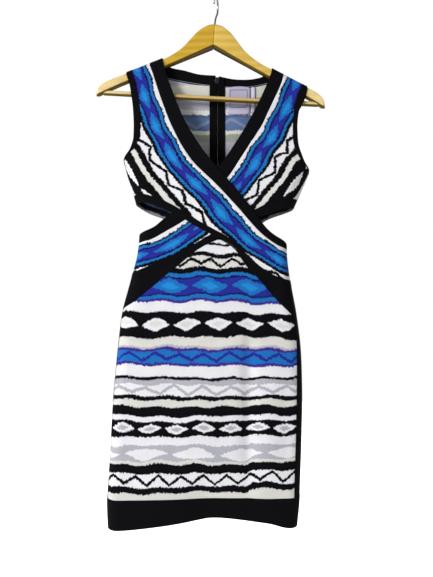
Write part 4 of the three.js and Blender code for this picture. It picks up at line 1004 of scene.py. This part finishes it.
def finish_knit(g, shader, colour, u, v):
    """Yarn tone, sheen and stitch relief."""
    yarn = g.streaks(u, v, 0.9, 1.6, 3.0)
    soft = g.noise(g.vector(u, v), 0.03, 2.0)
    heather = g.streaks(u, v, 0.2, 0.42, 3.0, 0.75)
    tone = g.add(g.mul(yarn, 0.14), g.mul(soft, 0.14))
    tone = g.add(0.72, g.add(tone, g.mul(heather, 0.28)))
    grey = g.fill(g.node("ShaderNodeCombineColor"), {0: tone, 1: tone, 2: tone})
    g.fill(shader, {
        "Base Color": g.mix(1.0, colour, grey.outputs[0], "MULTIPLY"),
        "Roughness": g.add(0.72, g.mul(yarn, 0.2)),
        "Sheen Weight": 0.01, "Sheen Roughness": 0.5, "Specular IOR Level": 0.05,
    })
    g.bump(shader, knit_height(g, u, v), 0.5, STITCH_DEEP)


# Pale grey of the backing yarn and of the stitches, also used for the painted highlight by a trim's free edge
PALE_YARN_AND_HIGHLIGHT = (150, 151, 154)
STITCH_PITCH, STITCH_LONG, STITCH_HALF = 2.8, 0.72, 0.5


def plain_knit(name, tone, fleck, share, ribs=False, yarn_and_highlight_edge=0.0, stitch=0.0):
    """One-colour knit with a share of lighter flecks; the trims have fine ribs along their length.
    `yarn_and_highlight_edge` is the width of a pale strip by the free edge, where the backing yarn shows and
    a painted highlight of the lit edge lies, and `stitch` the place of a row of stitches by the other edge."""
    material, g, shader = new_material(name)
    u, v, rest = g.cloth()
    lint = g.noise(g.vector(g.mul(u, 0.4), v), 0.6, 4.0, 0.7)
    colour = g.mix(g.mul(g.math("GREATER_THAN", lint, 1 - share), 0.5), rgb(*tone), rgb(*fleck))
    if yarn_and_highlight_edge:
        # painted highlight: a pale ragged strip by the free edge stands for light on the trim's lit inner
        # edge, mixed with pale backing yarn
        reach = g.mul(g.sub(g.streaks(u, v, 0.05, 0.3, 3.0, 0.7), 0.18), yarn_and_highlight_edge * 3)
        bare_yarn_and_highlight = g.mul(g.math("LESS_THAN", v, reach), g.add(0.25, lint))
        colour = g.mix(bare_yarn_and_highlight, colour, rgb(*PALE_YARN_AND_HIGHLIGHT))
    if stitch:
        row = g.math("LESS_THAN", g.abs(g.sub(rest, stitch)), STITCH_HALF)
        dash = g.math("LESS_THAN", g.math("FRACT", g.div(u, STITCH_PITCH)), STITCH_LONG)
        colour = g.mix(g.mul(row, dash), colour, rgb(*PALE_YARN_AND_HIGHLIGHT))
    if ribs:
        u, v = v, u
    finish_knit(g, shader, colour, u, v)
    return material


# Painted shade under the arms, by height of the normal and by depth, and the paler tone of the tips
UNDERSIDE_SHADE_FRONT, UNDERSIDE_SHADE_REAR = (92, 72, 10), (34, 16, 14)
UNDERSIDE_SHADE_NORMAL = (-0.1, -0.55)
UNDERSIDE_SHADE_DEPTH = (-3.5 * MM, 0.5 * MM)
TIP_TONE, TIP_PALE_SHARE = (232, 214, 166), 0.6
TIP_RANGE = (120.0 * MM, 205.0 * MM)


def wood(name, light, dark, knot_seed):
    """Varnished beech with grain along the arm, paler towards the tips, and painted shade on its underside
    that darkens towards the rear.
    """
    material, g, shader = new_material(name)
    coord = g.node("ShaderNodeTexCoord").outputs["Object"]
    turn = {"Vector": coord, "Location": (knot_seed, 0, 0), "Scale": (5, 60, 60)}
    turned = g.fill(g.node("ShaderNodeMapping"), turn).outputs[0]
    grain = g.noise(turned, 3.0, 6.0, 0.65)
    rings = g.node("ShaderNodeTexWave", wave_type="BANDS", bands_direction="Z")
    g.fill(rings, {"Vector": turned, "Scale": 0.35, "Distortion": 5.0, "Detail": 3.0})
    shade = g.add(g.mul(grain, 0.7), g.mul(rings.outputs["Fac"], 0.3))
    ramp = g.node("ShaderNodeValToRGB")
    g.put(ramp.inputs[0], shade)
    for stop, at, tone in zip(ramp.color_ramp.elements, (0.25, 0.75), (dark, light)):
        stop.position = at
        stop.color = rgb(*tone)
    across, deep, _ = g.split(coord)
    _, _, facing = g.split(g.node("ShaderNodeNewGeometry").outputs["Normal"])
    # a paler tone towards both tips, growing with the distance from the middle
    paler = g.ease(g.abs(across), *TIP_RANGE, TIP_PALE_SHARE)
    varnish = g.mix(paler, ramp.outputs[0], rgb(*TIP_TONE))
    # painted shade: faces turned down go dark olive at the front and dark brown at the rear, for the shadow
    # under the arm
    underside_shade = g.mix(g.ease(deep, *UNDERSIDE_SHADE_DEPTH), rgb(*UNDERSIDE_SHADE_FRONT), rgb(*UNDERSIDE_SHADE_REAR))
    g.fill(shader, {
        "Base Color": g.mix(g.ease(facing, *UNDERSIDE_SHADE_NORMAL), varnish, underside_shade),
        "Roughness": g.add(0.3, g.mul(grain, 0.25)),
        "Specular IOR Level": 0.12, "Coat Weight": 0.04, "Coat Roughness": 0.25,
    })
    g.bump(shader, shade, 0.25, 0.3)
    return material


def metal(name, tone, rough):
    material, g, shader = new_material(name)
    wear = g.noise(g.node("ShaderNodeTexCoord").outputs["Object"], 400.0, 3.0)
    g.fill(shader, {
        "Base Color": g.mix(wear, rgb(*tone), rgb(*(int(c * 0.75) for c in tone))),
        "Metallic": 1.0, "Roughness": g.add(rough, g.mul(wear, 0.15)),
    })
    return material


FRAME_R, FRAME_LINE, LABEL_HEM = 3.0, 0.8, 1.1


def woven_label(name, tone, edge, wide, long, frame=None):
    """Satin label with no words. `frame` is the inset of an inner border: sides, top, bottom."""
    material, g, shader = new_material(name)
    u, v, _ = g.cloth()
    cloudy = g.noise(g.vector(u, v), 0.5, 3.0, 0.7)
    colour = g.mix(cloudy, rgb(*(int(c * 0.9) for c in tone)), rgb(*tone))
    sideways = g.abs(g.sub(u, wide / 2))
    if frame:
        side, top, bottom = frame
        half_u, half_v = wide / 2 - side, (long - top - bottom) / 2
        du = g.sub(sideways, half_u - FRAME_R)
        dv = g.sub(g.abs(g.sub(v, top + half_v)), half_v - FRAME_R)
        out_u, out_v = g.math("MAXIMUM", du, 0.0), g.math("MAXIMUM", dv, 0.0)
        corner = g.math("SQRT", g.add(g.mul(out_u, out_u), g.mul(out_v, out_v)))
        away = g.add(corner, g.math("MINIMUM", g.math("MAXIMUM", du, dv), 0.0))
        line = g.math("LESS_THAN", g.abs(g.sub(away, FRAME_R)), FRAME_LINE)
        colour = g.mix(line, colour, rgb(*edge))
        band = g.math("GREATER_THAN", v, long - bottom + 1)
        speckle = g.mul(band, g.mul(g.noise(g.vector(u, v), 0.8, 1.0), 0.7))
        colour = g.mix(speckle, colour, rgb(*(min(255, c + 26) for c in tone)))
    else:
        hem = g.math("GREATER_THAN", sideways, wide / 2 - LABEL_HEM)
        colour = g.mix(hem, colour, rgb(*edge))
    g.fill(shader, {"Base Color": colour, "Roughness": 0.45, "Sheen Weight": 0.2})
    g.bump(shader, g.math("SINE", g.mul(v, 2 * math.pi / 0.6)), 0.3, 0.1)
    return material


BACK_STRIPES = BACK_TOP_STRIPES + SKIRT_STRIPES
SKIRT_OUT = stripe_knit("skirt_knit", SKIRT_STRIPES, OUTSIDE, 400.0)
SKIRT_IN = stripe_knit("skirt_knit_inside", SKIRT_STRIPES, INSIDE, 400.0, motifs=False)
BACK_OUT = stripe_knit("back_knit", BACK_STRIPES, OUTSIDE, 700.0, swing=0.3)
BACK_IN = stripe_knit("back_knit_inside", BACK_STRIPES, INSIDE, 700.0, swing=0.3)
BODICE_OUT = stripe_knit("bodice_knit", BODICE_STRIPES, OUTSIDE, 90.0, swing=0.6)
BODICE_IN = stripe_knit("bodice_knit_inside", BODICE_STRIPES, INSIDE, 90.0, motifs=False)
YARN = ((8, 8, 12), (38, 40, 50), 0.26)
BLACK = plain_knit("black_knit", *YARN)
BLACK_RIB = plain_knit("black_rib", *YARN, ribs=True)
BLACK_IN = plain_knit("black_knit_inside", (18, 19, 26), (84, 86, 94), 0.3, ribs=True)
NECK_IN = plain_knit("neck_trim_inside", *YARN, ribs=True, stitch=2.6)
CUT_IN = plain_knit("cutout_trim_inside", (14, 16, 24), (60, 64, 78), 0.4, ribs=True, yarn_and_highlight_edge=6.0)
TAPE = plain_knit("zip_tape_weave", (7, 7, 9), (30, 30, 36), 0.2, ribs=True)
LABEL_WIDE, LABEL_LONG = 44.0, 51.0
TAG_WIDE, TAG_LONG = 8.5, 46.0
LABEL = woven_label("label_satin", (178, 172, 194), (112, 104, 146), LABEL_WIDE, LABEL_LONG, (5.5, 6.5, 13.0))
TAG = woven_label("tag_satin", (204, 204, 224), (150, 148, 178), TAG_WIDE, TAG_LONG)
# A darker copy of the beech on the left arm for painted shade, and a lighter copy on the right arm for
# painted light on its lit side
WOOD_LEFT_SHADED = wood("beech_left_shaded", (196, 160, 58), (174, 136, 38), 0.0)
WOOD_RIGHT_LIT = wood("beech_right_lit", (212, 182, 94), (192, 156, 62), 3.0)
WOOD_BAR = wood("beech_bar", (204, 178, 122), (180, 148, 88), 7.0)
STEEL = metal("steel", (176, 176, 180), 0.24)
DARK_STEEL = metal("dark_steel", (70, 70, 76), 0.3)
TEETH = metal("zip_coil", (26, 26, 30), 0.6)


# Cloth pieces
HOLE_ROWS = UNDERARM_ROW + CREST_ROWS + 1


def trim(name, edge, face, way, seam, lift=no_lift, inside=BLACK_IN):
    """A ribbed trim between its free edge and its seam."""
    cloth(name, Matched(curve_of(edge, face, way), seam), seam, TRIM_WALL, (BLACK_RIB, inside), lift)


def add_front(tag, side, table, neck_edge, armhole, hem_edge, way, lift):
    neck = Curve(curve_of([row[:2] for row in table], "front", way))
    outer = curve_of([row[2:] for row in table], "front", way)
    cloth(f"bodice_{tag}", neck, Curve(outer), PANEL_WALL, (BODICE_OUT, BODICE_IN), lift)
    trim(f"neck_trim_{tag}", neck_edge, "front", way, neck, lift)
    trim(f"armhole_trim_{side}_front", armhole, "front", way, Curve(outer[:HOLE_ROWS]), lift)
    trim(f"hem_trim_{tag}", hem_edge, "front", way, Curve(outer[SIDE_END_ROW + CREST_ROWS:]), lift)


def add_skirt():
    left = curve_of([(row[1], row[0]) for row in SKIRT_ROWS], "front", -1)
    right = curve_of([(row[2], row[0]) for row in SKIRT_ROWS], "front", 1)
    cloth("skirt_front", Curve(left), Curve(right), PANEL_WALL, (SKIRT_OUT, SKIRT_IN), peak=SKIRT_PEAK,
          shift=fold_shift)
    for side, way, tops, trim, low in (
        ("left", -1, YOKE_LEFT, UNDER_HEM_EDGE, left),
        ("right", 1, YOKE_RIGHT, OVER_HEM_EDGE, right),
    ):
        end = trim[-1][1]
        line = sorted(list(trim[1:-1]) + [(float(right_at(end) if way == 1 else left_at(end)), end)])
        xs, zs = [p[0] for p in line], [p[1] for p in line]
        top = []
        for x in tops:
            top.append(place("front", way, side, end) if x == side
                       else place("front", way, x, float(np.interp(x, xs, zs)) + YOKE_UNDER))
        lower = low[YOKE_FIRST_ROW:YOKE_FIRST_ROW + len(tops)]
        cloth(f"yoke_{side}", Curve(top), Curve(lower), PANEL_WALL, (BLACK, BLACK_IN))


def add_strips():
    for side, way, front, rows in (
        ("left", -1, STRIP_FRONT_LEFT, BACK_LEFT_ROWS), ("right", 1, STRIP_FRONT_RIGHT, BACK_RIGHT_ROWS),
    ):
        back = curve_of([row[2:] for row in rows[STRIP_ROW:]], "back", way)
        front = curve_of(front, "front", way)
        cloth(f"side_strip_{side}", Curve(front), Curve(back), PANEL_WALL, (BLACK, BLACK_IN))


def add_hem_band():
    front = np.array([place("front", -1 if x == "left" else 1, x, z) for x, z in HEM_FRONT])
    back = np.array([place("back", 1 if x == "right" or (x != "left" and x > 0) else -1, x, z)
                     for x, z in HEM_BACK])
    back[back[:, 0] < 0, 0] += 4
    for face, low in (("front", front), ("back", back)):
        top = np.stack([low[:, 0], hem_top_at(wrapped(low[:, 0])) - SEAM_GAP / 2], axis=1)
        cloth(f"hem_band_{face}", Curve(top), Curve(low), TRIM_WALL, (BLACK, BLACK_IN))


def add_back(side, way, rows, neck_edge, armhole, cutout):
    inner = curve_of([row[:2] for row in rows], "back", way)
    outer = curve_of([row[2:] for row in rows], "back", way)
    cloth(f"back_{side}", Curve(inner), Curve(outer), PANEL_WALL, (BACK_OUT, BACK_IN), peak=BACK_PEAK)
    neck_seam = Curve(inner[:len(neck_edge) + CREST_ROWS])
    trim(f"back_neck_trim_{side}", neck_edge, "back", way, neck_seam, inside=NECK_IN)
    trim(f"armhole_trim_{side}_back", armhole, "back", way, Curve(outer[:HOLE_ROWS]))
    first = CUTOUT_ROW + CREST_ROWS
    seam = list(outer[first:first + len(cutout) - 1]) + [place("back", way, side, STRIP_TOP[side])]
    free = Curve(curve_of(cutout, "back", way))
    cloth(f"cutout_trim_{side}", free, Curve(seam), TRIM_WALL, (BLACK_RIB, CUT_IN))


# Zip and labels


BEHIND = -(2 * SEAM_GAP + TAPE_WALL)
STRIP_STEPS = (3.0, 2.5)


def back_strip(node, off_from, off_to, z_from, z_to, lift, material, drop=0.0):
    """A strip inside the back. `drop` is how far its top corners lie below the middle of its top."""
    wide, long = off_to - off_from, z_from - z_to
    rows = max(2, int(long / STRIP_STEPS[0]))
    cols = max(2, int(wide / STRIP_STEPS[1]) + 1)
    q, off = np.meshgrid(np.linspace(z_from, z_to, rows), np.linspace(off_from, off_to, cols), indexing="ij")
    half = 2 * quarter_at(q)
    s = np.where(off < 0, -(half + off), half - off)
    across = off - off_from
    side = np.abs(2 * across / wide - 1)
    q = q - drop * (side ** 2 * 0.55 + side ** 12 * 0.45) * (q - z_to) / long
    q = q + drop * 0.6 * side ** 12 * (z_from - q) / long
    grid = np.stack([s / quarter_at(q), q], axis=-1)
    down = z_from - q
    edges = (across, wide - across, down, long - down)
    mesh, _, area = shell(f"{node}_cloth", grid, edges, TAPE_WALL, lambda p: np.full(p.shape[:-1], lift),
                          (across, down))
    mesh.materials.append(material)
    ob = link(f"{node}_cloth", mesh, node)


def add_zip():
    for side, way in (("left", -1), ("right", 1)):
        near, far = sorted((ZIP_OFF + way * 0.1, ZIP_OFF + way * TAPE_WIDE))
        back_strip(f"zip_tape_{side}", near, far, ZIP_TOP, ZIP_END, BEHIND, TAPE)
    add_teeth()
    add_slider()


# The zip's metal teeth: their spacing, the share of it that one fills, and width and depth
ZIP_PITCH, ZIP_FILL = 1.6, 0.62
ZIP_TOOTH = (3.3, 1.5)
ZIP_BEVEL = 0.22


def add_teeth():
    """Two rows of interlocked metal teeth between the tapes' edges."""
    count = int((ZIP_TOP - ZIP_END - 2) / ZIP_PITCH)
    bm = bmesh.new()
    for i in range(count):
        q = np.array(ZIP_TOP - 1 - i * ZIP_PITCH)
        s = 2 * quarter_at(q) - ZIP_OFF
        p = body_point(s, q)
        n = body_normal(s, q)
        way = 1 if i % 2 else -1
        turn = Matrix.Rotation(math.atan2(-n[2], n[1]), 4, "X")
        size = Matrix.Diagonal((*ZIP_TOOTH, ZIP_PITCH * ZIP_FILL, 1))
        at = Matrix.Translation(Vector(p + n * 0.8) + Vector((way * 0.75, 0, 0)))
        bmesh.ops.create_cube(bm, size=1.0, matrix=at @ turn @ size)
    bmesh.ops.bevel(bm, geom=list(bm.edges), offset=ZIP_BEVEL, segments=1, affect="EDGES")
    bmesh.ops.scale(bm, vec=(MM, MM, MM), verts=bm.verts)
    link("zip_teeth", mesh_of("zip_teeth", bm, TEETH), "zip_chain")


SLIDER_LONG, PLATE = 12.0, 1.2
SLIDER_OUTLINE = (
    (-3.9, 1.6), (-4.0, -1.5), (-3.1, -6.5), (-2.9, -10.0), (2.9, -10.0), (3.1, -6.5),
    (4.0, -1.5), (3.9, 1.6),
)
PIN_R, EAR, PULL_WIDE, PULL_LONG, PULL_THICK, EYE_R, PIN_BELOW = 0.6, 1.0, 4.4, 24.0, 1.2, 1.7, 2.0


def slider_place():
    q = np.array([ZIP_TOP, ZIP_TOP - SLIDER_LONG])
    p = body_point(2 * quarter_at(np.array(ZIP_TOP)) - ZIP_OFF + np.zeros(2), q)
    lean = math.atan2(p[1][1] - p[0][1], SLIDER_LONG)
    return Matrix.Translation(Vector(p[0])) @ Matrix.Rotation(lean, 4, "X"), lean


def flat_plate(bm, outline, y, thick):
    """A plate from y back, with an outline of x and z."""
    face = bm.faces.new([bm.verts.new((x, y, z)) for x, z in outline])
    moved = bmesh.ops.extrude_face_region(bm, geom=[face])["geom"]
    bmesh.ops.translate(bm, vec=(0, thick, 0), verts=[v for v in moved if isinstance(v, bmesh.types.BMVert)])


def add_box(bm, size, at):
    bmesh.ops.create_cube(bm, size=1.0, matrix=Matrix.Translation(Vector(at)) @ Matrix.Diagonal((*size, 1)))


def add_slider():
    at, lean = slider_place()
    outer = PANEL_WALL + SEAM_GAP + PLATE / 2 + 0.3
    inner = BEHIND - SEAM_GAP - PLATE / 2 - 0.3
    pin_y = outer + PLATE / 2 + EYE_R + 0.4
    bm = bmesh.new()
    for y in (outer, inner):
        flat_plate(bm, SLIDER_OUTLINE, y - PLATE / 2, PLATE)
    add_box(bm, (2.4, outer - inner, 1.4), (0, (outer + inner) / 2, 1.1))
    for way in (-1, 1):
        x = way * (PULL_WIDE / 2 + 0.4 + EAR / 2)
        add_box(bm, (EAR, pin_y - outer + 1, 2.4), (x, (outer + pin_y + 1) / 2, -PIN_BELOW))
    bmesh.ops.create_cone(bm, segments=20, radius1=PIN_R, radius2=PIN_R, depth=PULL_WIDE + 0.8 + EAR,
                          cap_ends=True, matrix=Matrix.Translation((0, pin_y, -PIN_BELOW))
                          @ Matrix.Rotation(math.pi / 2, 4, "Y"))
    finish_metal("zip_slider_metal", bm, at, "zip_slider", "dress", 0.25)
    pull = bmesh.new()
    pull_outline(pull)
    centre = at @ Matrix.Translation((0, pin_y, -PIN_BELOW)) @ Matrix.Rotation(-lean, 4, "X")
    finish_metal("zip_pull_metal", pull, centre, "zip_pull", "pull", 0.2)


def pull_outline(bm):
    """An eye round the pin and a flat tab that widens to a round end."""
    inner_r = PIN_R + 0.35
    half = PULL_WIDE / 2
    steps = 20
    rows = []
    for x in (-half, half):
        rows.append([
            [bm.verts.new((x, r * math.cos(2 * math.pi * k / steps), r * math.sin(2 * math.pi * k / steps)))
             for k in range(steps)] for r in (inner_r, EYE_R)])
    for k in range(steps):
        j = (k + 1) % steps
        for side in rows:
            bm.faces.new((side[0][k], side[0][j], side[1][j], side[1][k]))
        for r in (0, 1):
            bm.faces.new((rows[0][r][k], rows[0][r][j], rows[1][r][j], rows[1][r][k]))
    outline = [(-half, -EYE_R * 0.9), (-half * 0.72, -9), (-half * 0.8, -15), (-half, -19)]
    outline += [(half * math.cos(a), -PULL_LONG + half * 0.9 + half * 0.9 * math.sin(a))
                for a in np.linspace(math.pi, 2 * math.pi, 9)[1:-1]]
    outline += [(half, -19), (half * 0.8, -15), (half * 0.72, -9), (half, -EYE_R * 0.9)]
    flat_plate(bm, outline, -PULL_THICK / 2, PULL_THICK)


def finish_metal(name, bm, at, node, body, bevel):
    bmesh.ops.recalc_face_normals(bm, faces=bm.faces)
    bmesh.ops.transform(bm, matrix=Matrix.Scale(MM, 4) @ at, verts=bm.verts)
    ob = link(name, mesh_of(name, bm, DARK_STEEL), node, body)
    soften = ob.modifiers.new("edges", "BEVEL")
    soften.width = bevel * MM
    soften.segments = 2


# Place of the woven label and the size tag: distance from mid-back and height
LABEL_AT = (20.5, -168.5)
TAG_AT = (66.2, -170.5)
LABEL_DROP = 4.5


def add_labels():
    for node, (off, top), wide, long, material, drop in (
        ("label", LABEL_AT, LABEL_WIDE, LABEL_LONG, LABEL, LABEL_DROP),
        ("size_tag", TAG_AT, TAG_WIDE, TAG_LONG, TAG, 0.0),
    ):
        back_strip(node, off, off + wide, top, top - long, BEHIND - 0.3, material, drop)


# Hanger


def hanger_turn(points):
    """From the hanger's own frame to the row's."""
    p = np.asarray(points, float)
    c, s = math.cos(TILT), math.sin(TILT)
    return np.stack([p[..., 0] * c + p[..., 2] * s, p[..., 1], -p[..., 0] * s + p[..., 2] * c], axis=-1)


def arm_outline(table):
    """A smooth height along the arm."""
    return hermite([p[0] for p in table], [p[1] for p in table])


def rod_faces(rows, sides):
    """Faces round rows of points, and at both ends."""
    faces = [tuple(range(sides)), tuple(range((rows - 1) * sides, rows * sides))]
    for i in range(0, (rows - 1) * sides, sides):
        for j in range(sides):
            k = (j + 1) % sides
            faces.append((i + j, i + k, i + sides + k, i + sides + j))
    return faces


def add_arm(side, way, material):
    top, low = arm_outline(ARM_TOP), arm_outline(ARM_LOW)
    stations = np.concatenate([[0.15, 0.6, 1.4], np.arange(3, ARM_TIP_X - 8, 2.5),
                               ARM_TIP_X - 8 * (1 - np.sin(np.linspace(0, math.pi / 2, 12)))])
    rings = []
    for i, x in enumerate(stations):
        high, under = float(top(x)), float(low(x))
        thick = ARM_THICK + (ARM_CENTRE_THICK - ARM_THICK) * math.exp(-((x / 45) ** 2))
        near_end = max(0.0, 1 - (ARM_TIP_X - x) / 6)
        thick *= math.sqrt(max(0.12, 1 - near_end ** 2))
        pinch = 0.5 if i == 0 else (0.2 if i == 1 else 0)
        high, under, thick = high - pinch, under + pinch, thick - 2 * pinch
        r = min(ARM_CORNER, (high - under) / 2.2, thick / 2.05)
        shift = float(arm_sweep(x))
        ring = []
        for cy, cz, start in ((thick / 2 - r, high - r, 0), (r - thick / 2, high - r, 90),
                              (r - thick / 2, under + r, 180), (thick / 2 - r, under + r, 270)):
            for step in np.linspace(0, 90, 9):
                a = math.radians(start + step)
                ring.append((way * x, cy + r * math.cos(a) + shift, cz + r * math.sin(a)))
        rings.append(ring)
    verts = hanger_turn(np.array(rings).reshape(-1, 3))
    mesh = outward(mesh_from(f"arm_{side}", verts, rod_faces(len(rings), len(rings[0]))))
    mesh.materials.append(material)
    link(f"hanger_arm_{side}_wood", mesh, f"hanger_arm_{side}")


def tube(name, path, radius, sides, material, node):
    """A round rod along a path of points in the row's frame, with rounded ends."""
    path = np.asarray(path, float)
    tangent = np.gradient(path, axis=0)
    tangent /= np.linalg.norm(tangent, axis=1, keepdims=True)
    ref = np.cross(tangent[0], tangent[-1])
    if np.linalg.norm(ref) < 1e-3:
        ref = np.array([0.0, 1.0, 0.0])
    verts = []
    side = ref / np.linalg.norm(ref)
    for i, (p, t) in enumerate(zip(path, tangent)):
        side = side - t * np.dot(side, t)
        side /= np.linalg.norm(side)
        other = np.cross(t, side)
        r = radius * (0.7 if i in (0, len(path) - 1) else 1.0)
        for k in range(sides):
            a = 2 * math.pi * k / sides
            verts.append(p + r * (math.cos(a) * side + math.sin(a) * other))
    mesh = outward(mesh_from(name, verts, rod_faces(len(path), sides)))
    mesh.materials.append(material)
    link(name, mesh, node)


def add_hanger():
    add_arm("left", -1, WOOD_LEFT_SHADED)
    add_arm("right", 1, WOOD_RIGHT_LIT)
    y = float(arm_sweep(BAR_HALF - 8))
    xs = np.concatenate([[-BAR_HALF, -BAR_HALF + 0.8], np.linspace(-BAR_HALF + 3, BAR_HALF - 3, 60),
                         [BAR_HALF - 0.8, BAR_HALF]])
    tube("hanger_bar_wood", hanger_turn(np.stack([xs, xs * 0 + y, xs * 0 + BAR_Z], 1)), BAR_R, 28, WOOD_BAR,
         "hanger_bar")
    add_hook()


def add_hook():
    """A wire hook: a stem in the wood, a small bend and an open loop."""
    r = HOOK_INNER_R + WIRE_R
    points = [(0, HOOK_FOOT_Z), (0, (HOOK_FOOT_Z + HOOK_NECK_Z) / 2), (0, HOOK_NECK_Z)]
    points.append((1.6, HOOK_NECK_Z + 7))
    for a in range(-55, 206, 20):
        points.append((r * math.cos(math.radians(a)), -HOOK_INNER_R + r * math.sin(math.radians(a))))
    points = np.array(points, float)
    far = np.concatenate([[0], np.cumsum(np.linalg.norm(np.diff(points, axis=0), axis=1))])
    smooth = hermite(far, points)(np.linspace(0, far[-1], 160))
    c, s = math.cos(HOOK_TURN), math.sin(HOOK_TURN)
    path = np.stack([smooth[:, 0] * c, smooth[:, 0] * s, smooth[:, 1]], 1)
    tube("hanger_hook_wire", hanger_turn(path), WIRE_R, 18, STEEL, "hanger_hook")


# Camera, light and stage
CAMERA_BACK = 0.950
CAMERA_Z = -0.55575
FRAME_WIDE = 0.8227
SENSOR = 36.0


def add_camera():
    data = bpy.data.cameras.new("camera")
    data.sensor_fit = "HORIZONTAL"
    data.sensor_width = SENSOR
    data.lens = SENSOR * CAMERA_BACK / FRAME_WIDE
    data.clip_end = 50
    ob = bpy.data.objects.new("camera", data)
    ob.location = (0, -CAMERA_BACK, CAMERA_Z)
    ob.rotation_euler = (math.pi / 2, 0, 0)
    bpy.context.scene.collection.objects.link(ob)
    bpy.context.scene.camera = ob


def add_area(name, at, aim, size, power):
    data = bpy.data.lights.new(name, "AREA")
    data.shape = "DISK"
    data.size = size
    data.energy = power
    ob = bpy.data.objects.new(name, data)
    ob.location = at
    ob.rotation_euler = (Vector(aim) - Vector(at)).to_track_quat("-Z", "Y").to_euler()
    bpy.context.scene.collection.objects.link(ob)


ROOM_LIGHT = 0.3
FLOOR_Z = -1.45

# Name, place, aim, size and power
LIGHTS = (
    ("key", (-2.0, -1.75, 0.2), (0, 0, -0.55), 0.9, 76),
    ("fill", (1.4, -2.4, 0.1), (0, 0, -0.6), 1.8, 8),
    ("rear", (1.3, 2.3, 0.3), (0, 0, -0.55), 1.4, 60),
)


def add_stage():
    world = bpy.data.worlds.new("studio")
    bpy.context.scene.world = world
    world.use_nodes = True
    sky = Graph(world.node_tree)
    seen = sky.node("ShaderNodeLightPath").outputs["Is Camera Ray"]
    strength = sky.math("MULTIPLY_ADD", seen, 1.0 - ROOM_LIGHT, ROOM_LIGHT)
    sky.fill(world.node_tree.nodes["Background"], {"Color": (1, 1, 1, 1), "Strength": strength})
    material, g, shader = new_material("floor_paint")
    cloudy = g.noise(g.node("ShaderNodeTexCoord").outputs["Object"], 3.0)
    seen = g.node("ShaderNodeLightPath").outputs["Is Camera Ray"]
    g.fill(shader, {
        "Base Color": g.mix(cloudy, rgb(250, 250, 250), rgb(254, 254, 254)), "Roughness": 0.9,
        "Emission Color": (1, 1, 1, 1), "Emission Strength": g.mul(seen, 0.9),
    })
    bm = bmesh.new()
    low = Matrix.Translation((0, 0, FLOOR_Z))
    bmesh.ops.create_grid(bm, x_segments=2, y_segments=2, size=3.0, matrix=low)
    ob = bpy.data.objects.new("floor", mesh_of("floor", bm, material))
    bpy.context.scene.collection.objects.link(ob)
    for light in LIGHTS:
        add_area(*light)


bpy.context.scene.view_settings.view_transform = "Standard"
add_camera()
add_front("over", "left", OVER_ROWS, OVER_NECK_EDGE, ARMHOLE_LEFT, OVER_HEM_EDGE, -1, over_lift)
add_front("under", "right", UNDER_ROWS, UNDER_NECK_EDGE, ARMHOLE_RIGHT, UNDER_HEM_EDGE, 1, no_lift)
add_skirt()
add_strips()
add_hem_band()
add_back("left", -1, BACK_LEFT_ROWS, BACK_NECK_LEFT, ARMHOLE_LEFT, CUTOUT_LEFT)
add_back("right", 1, BACK_RIGHT_ROWS, BACK_NECK_RIGHT, ARMHOLE_RIGHT, CUTOUT_RIGHT)
add_zip()
add_labels()
add_hanger()
add_stage()
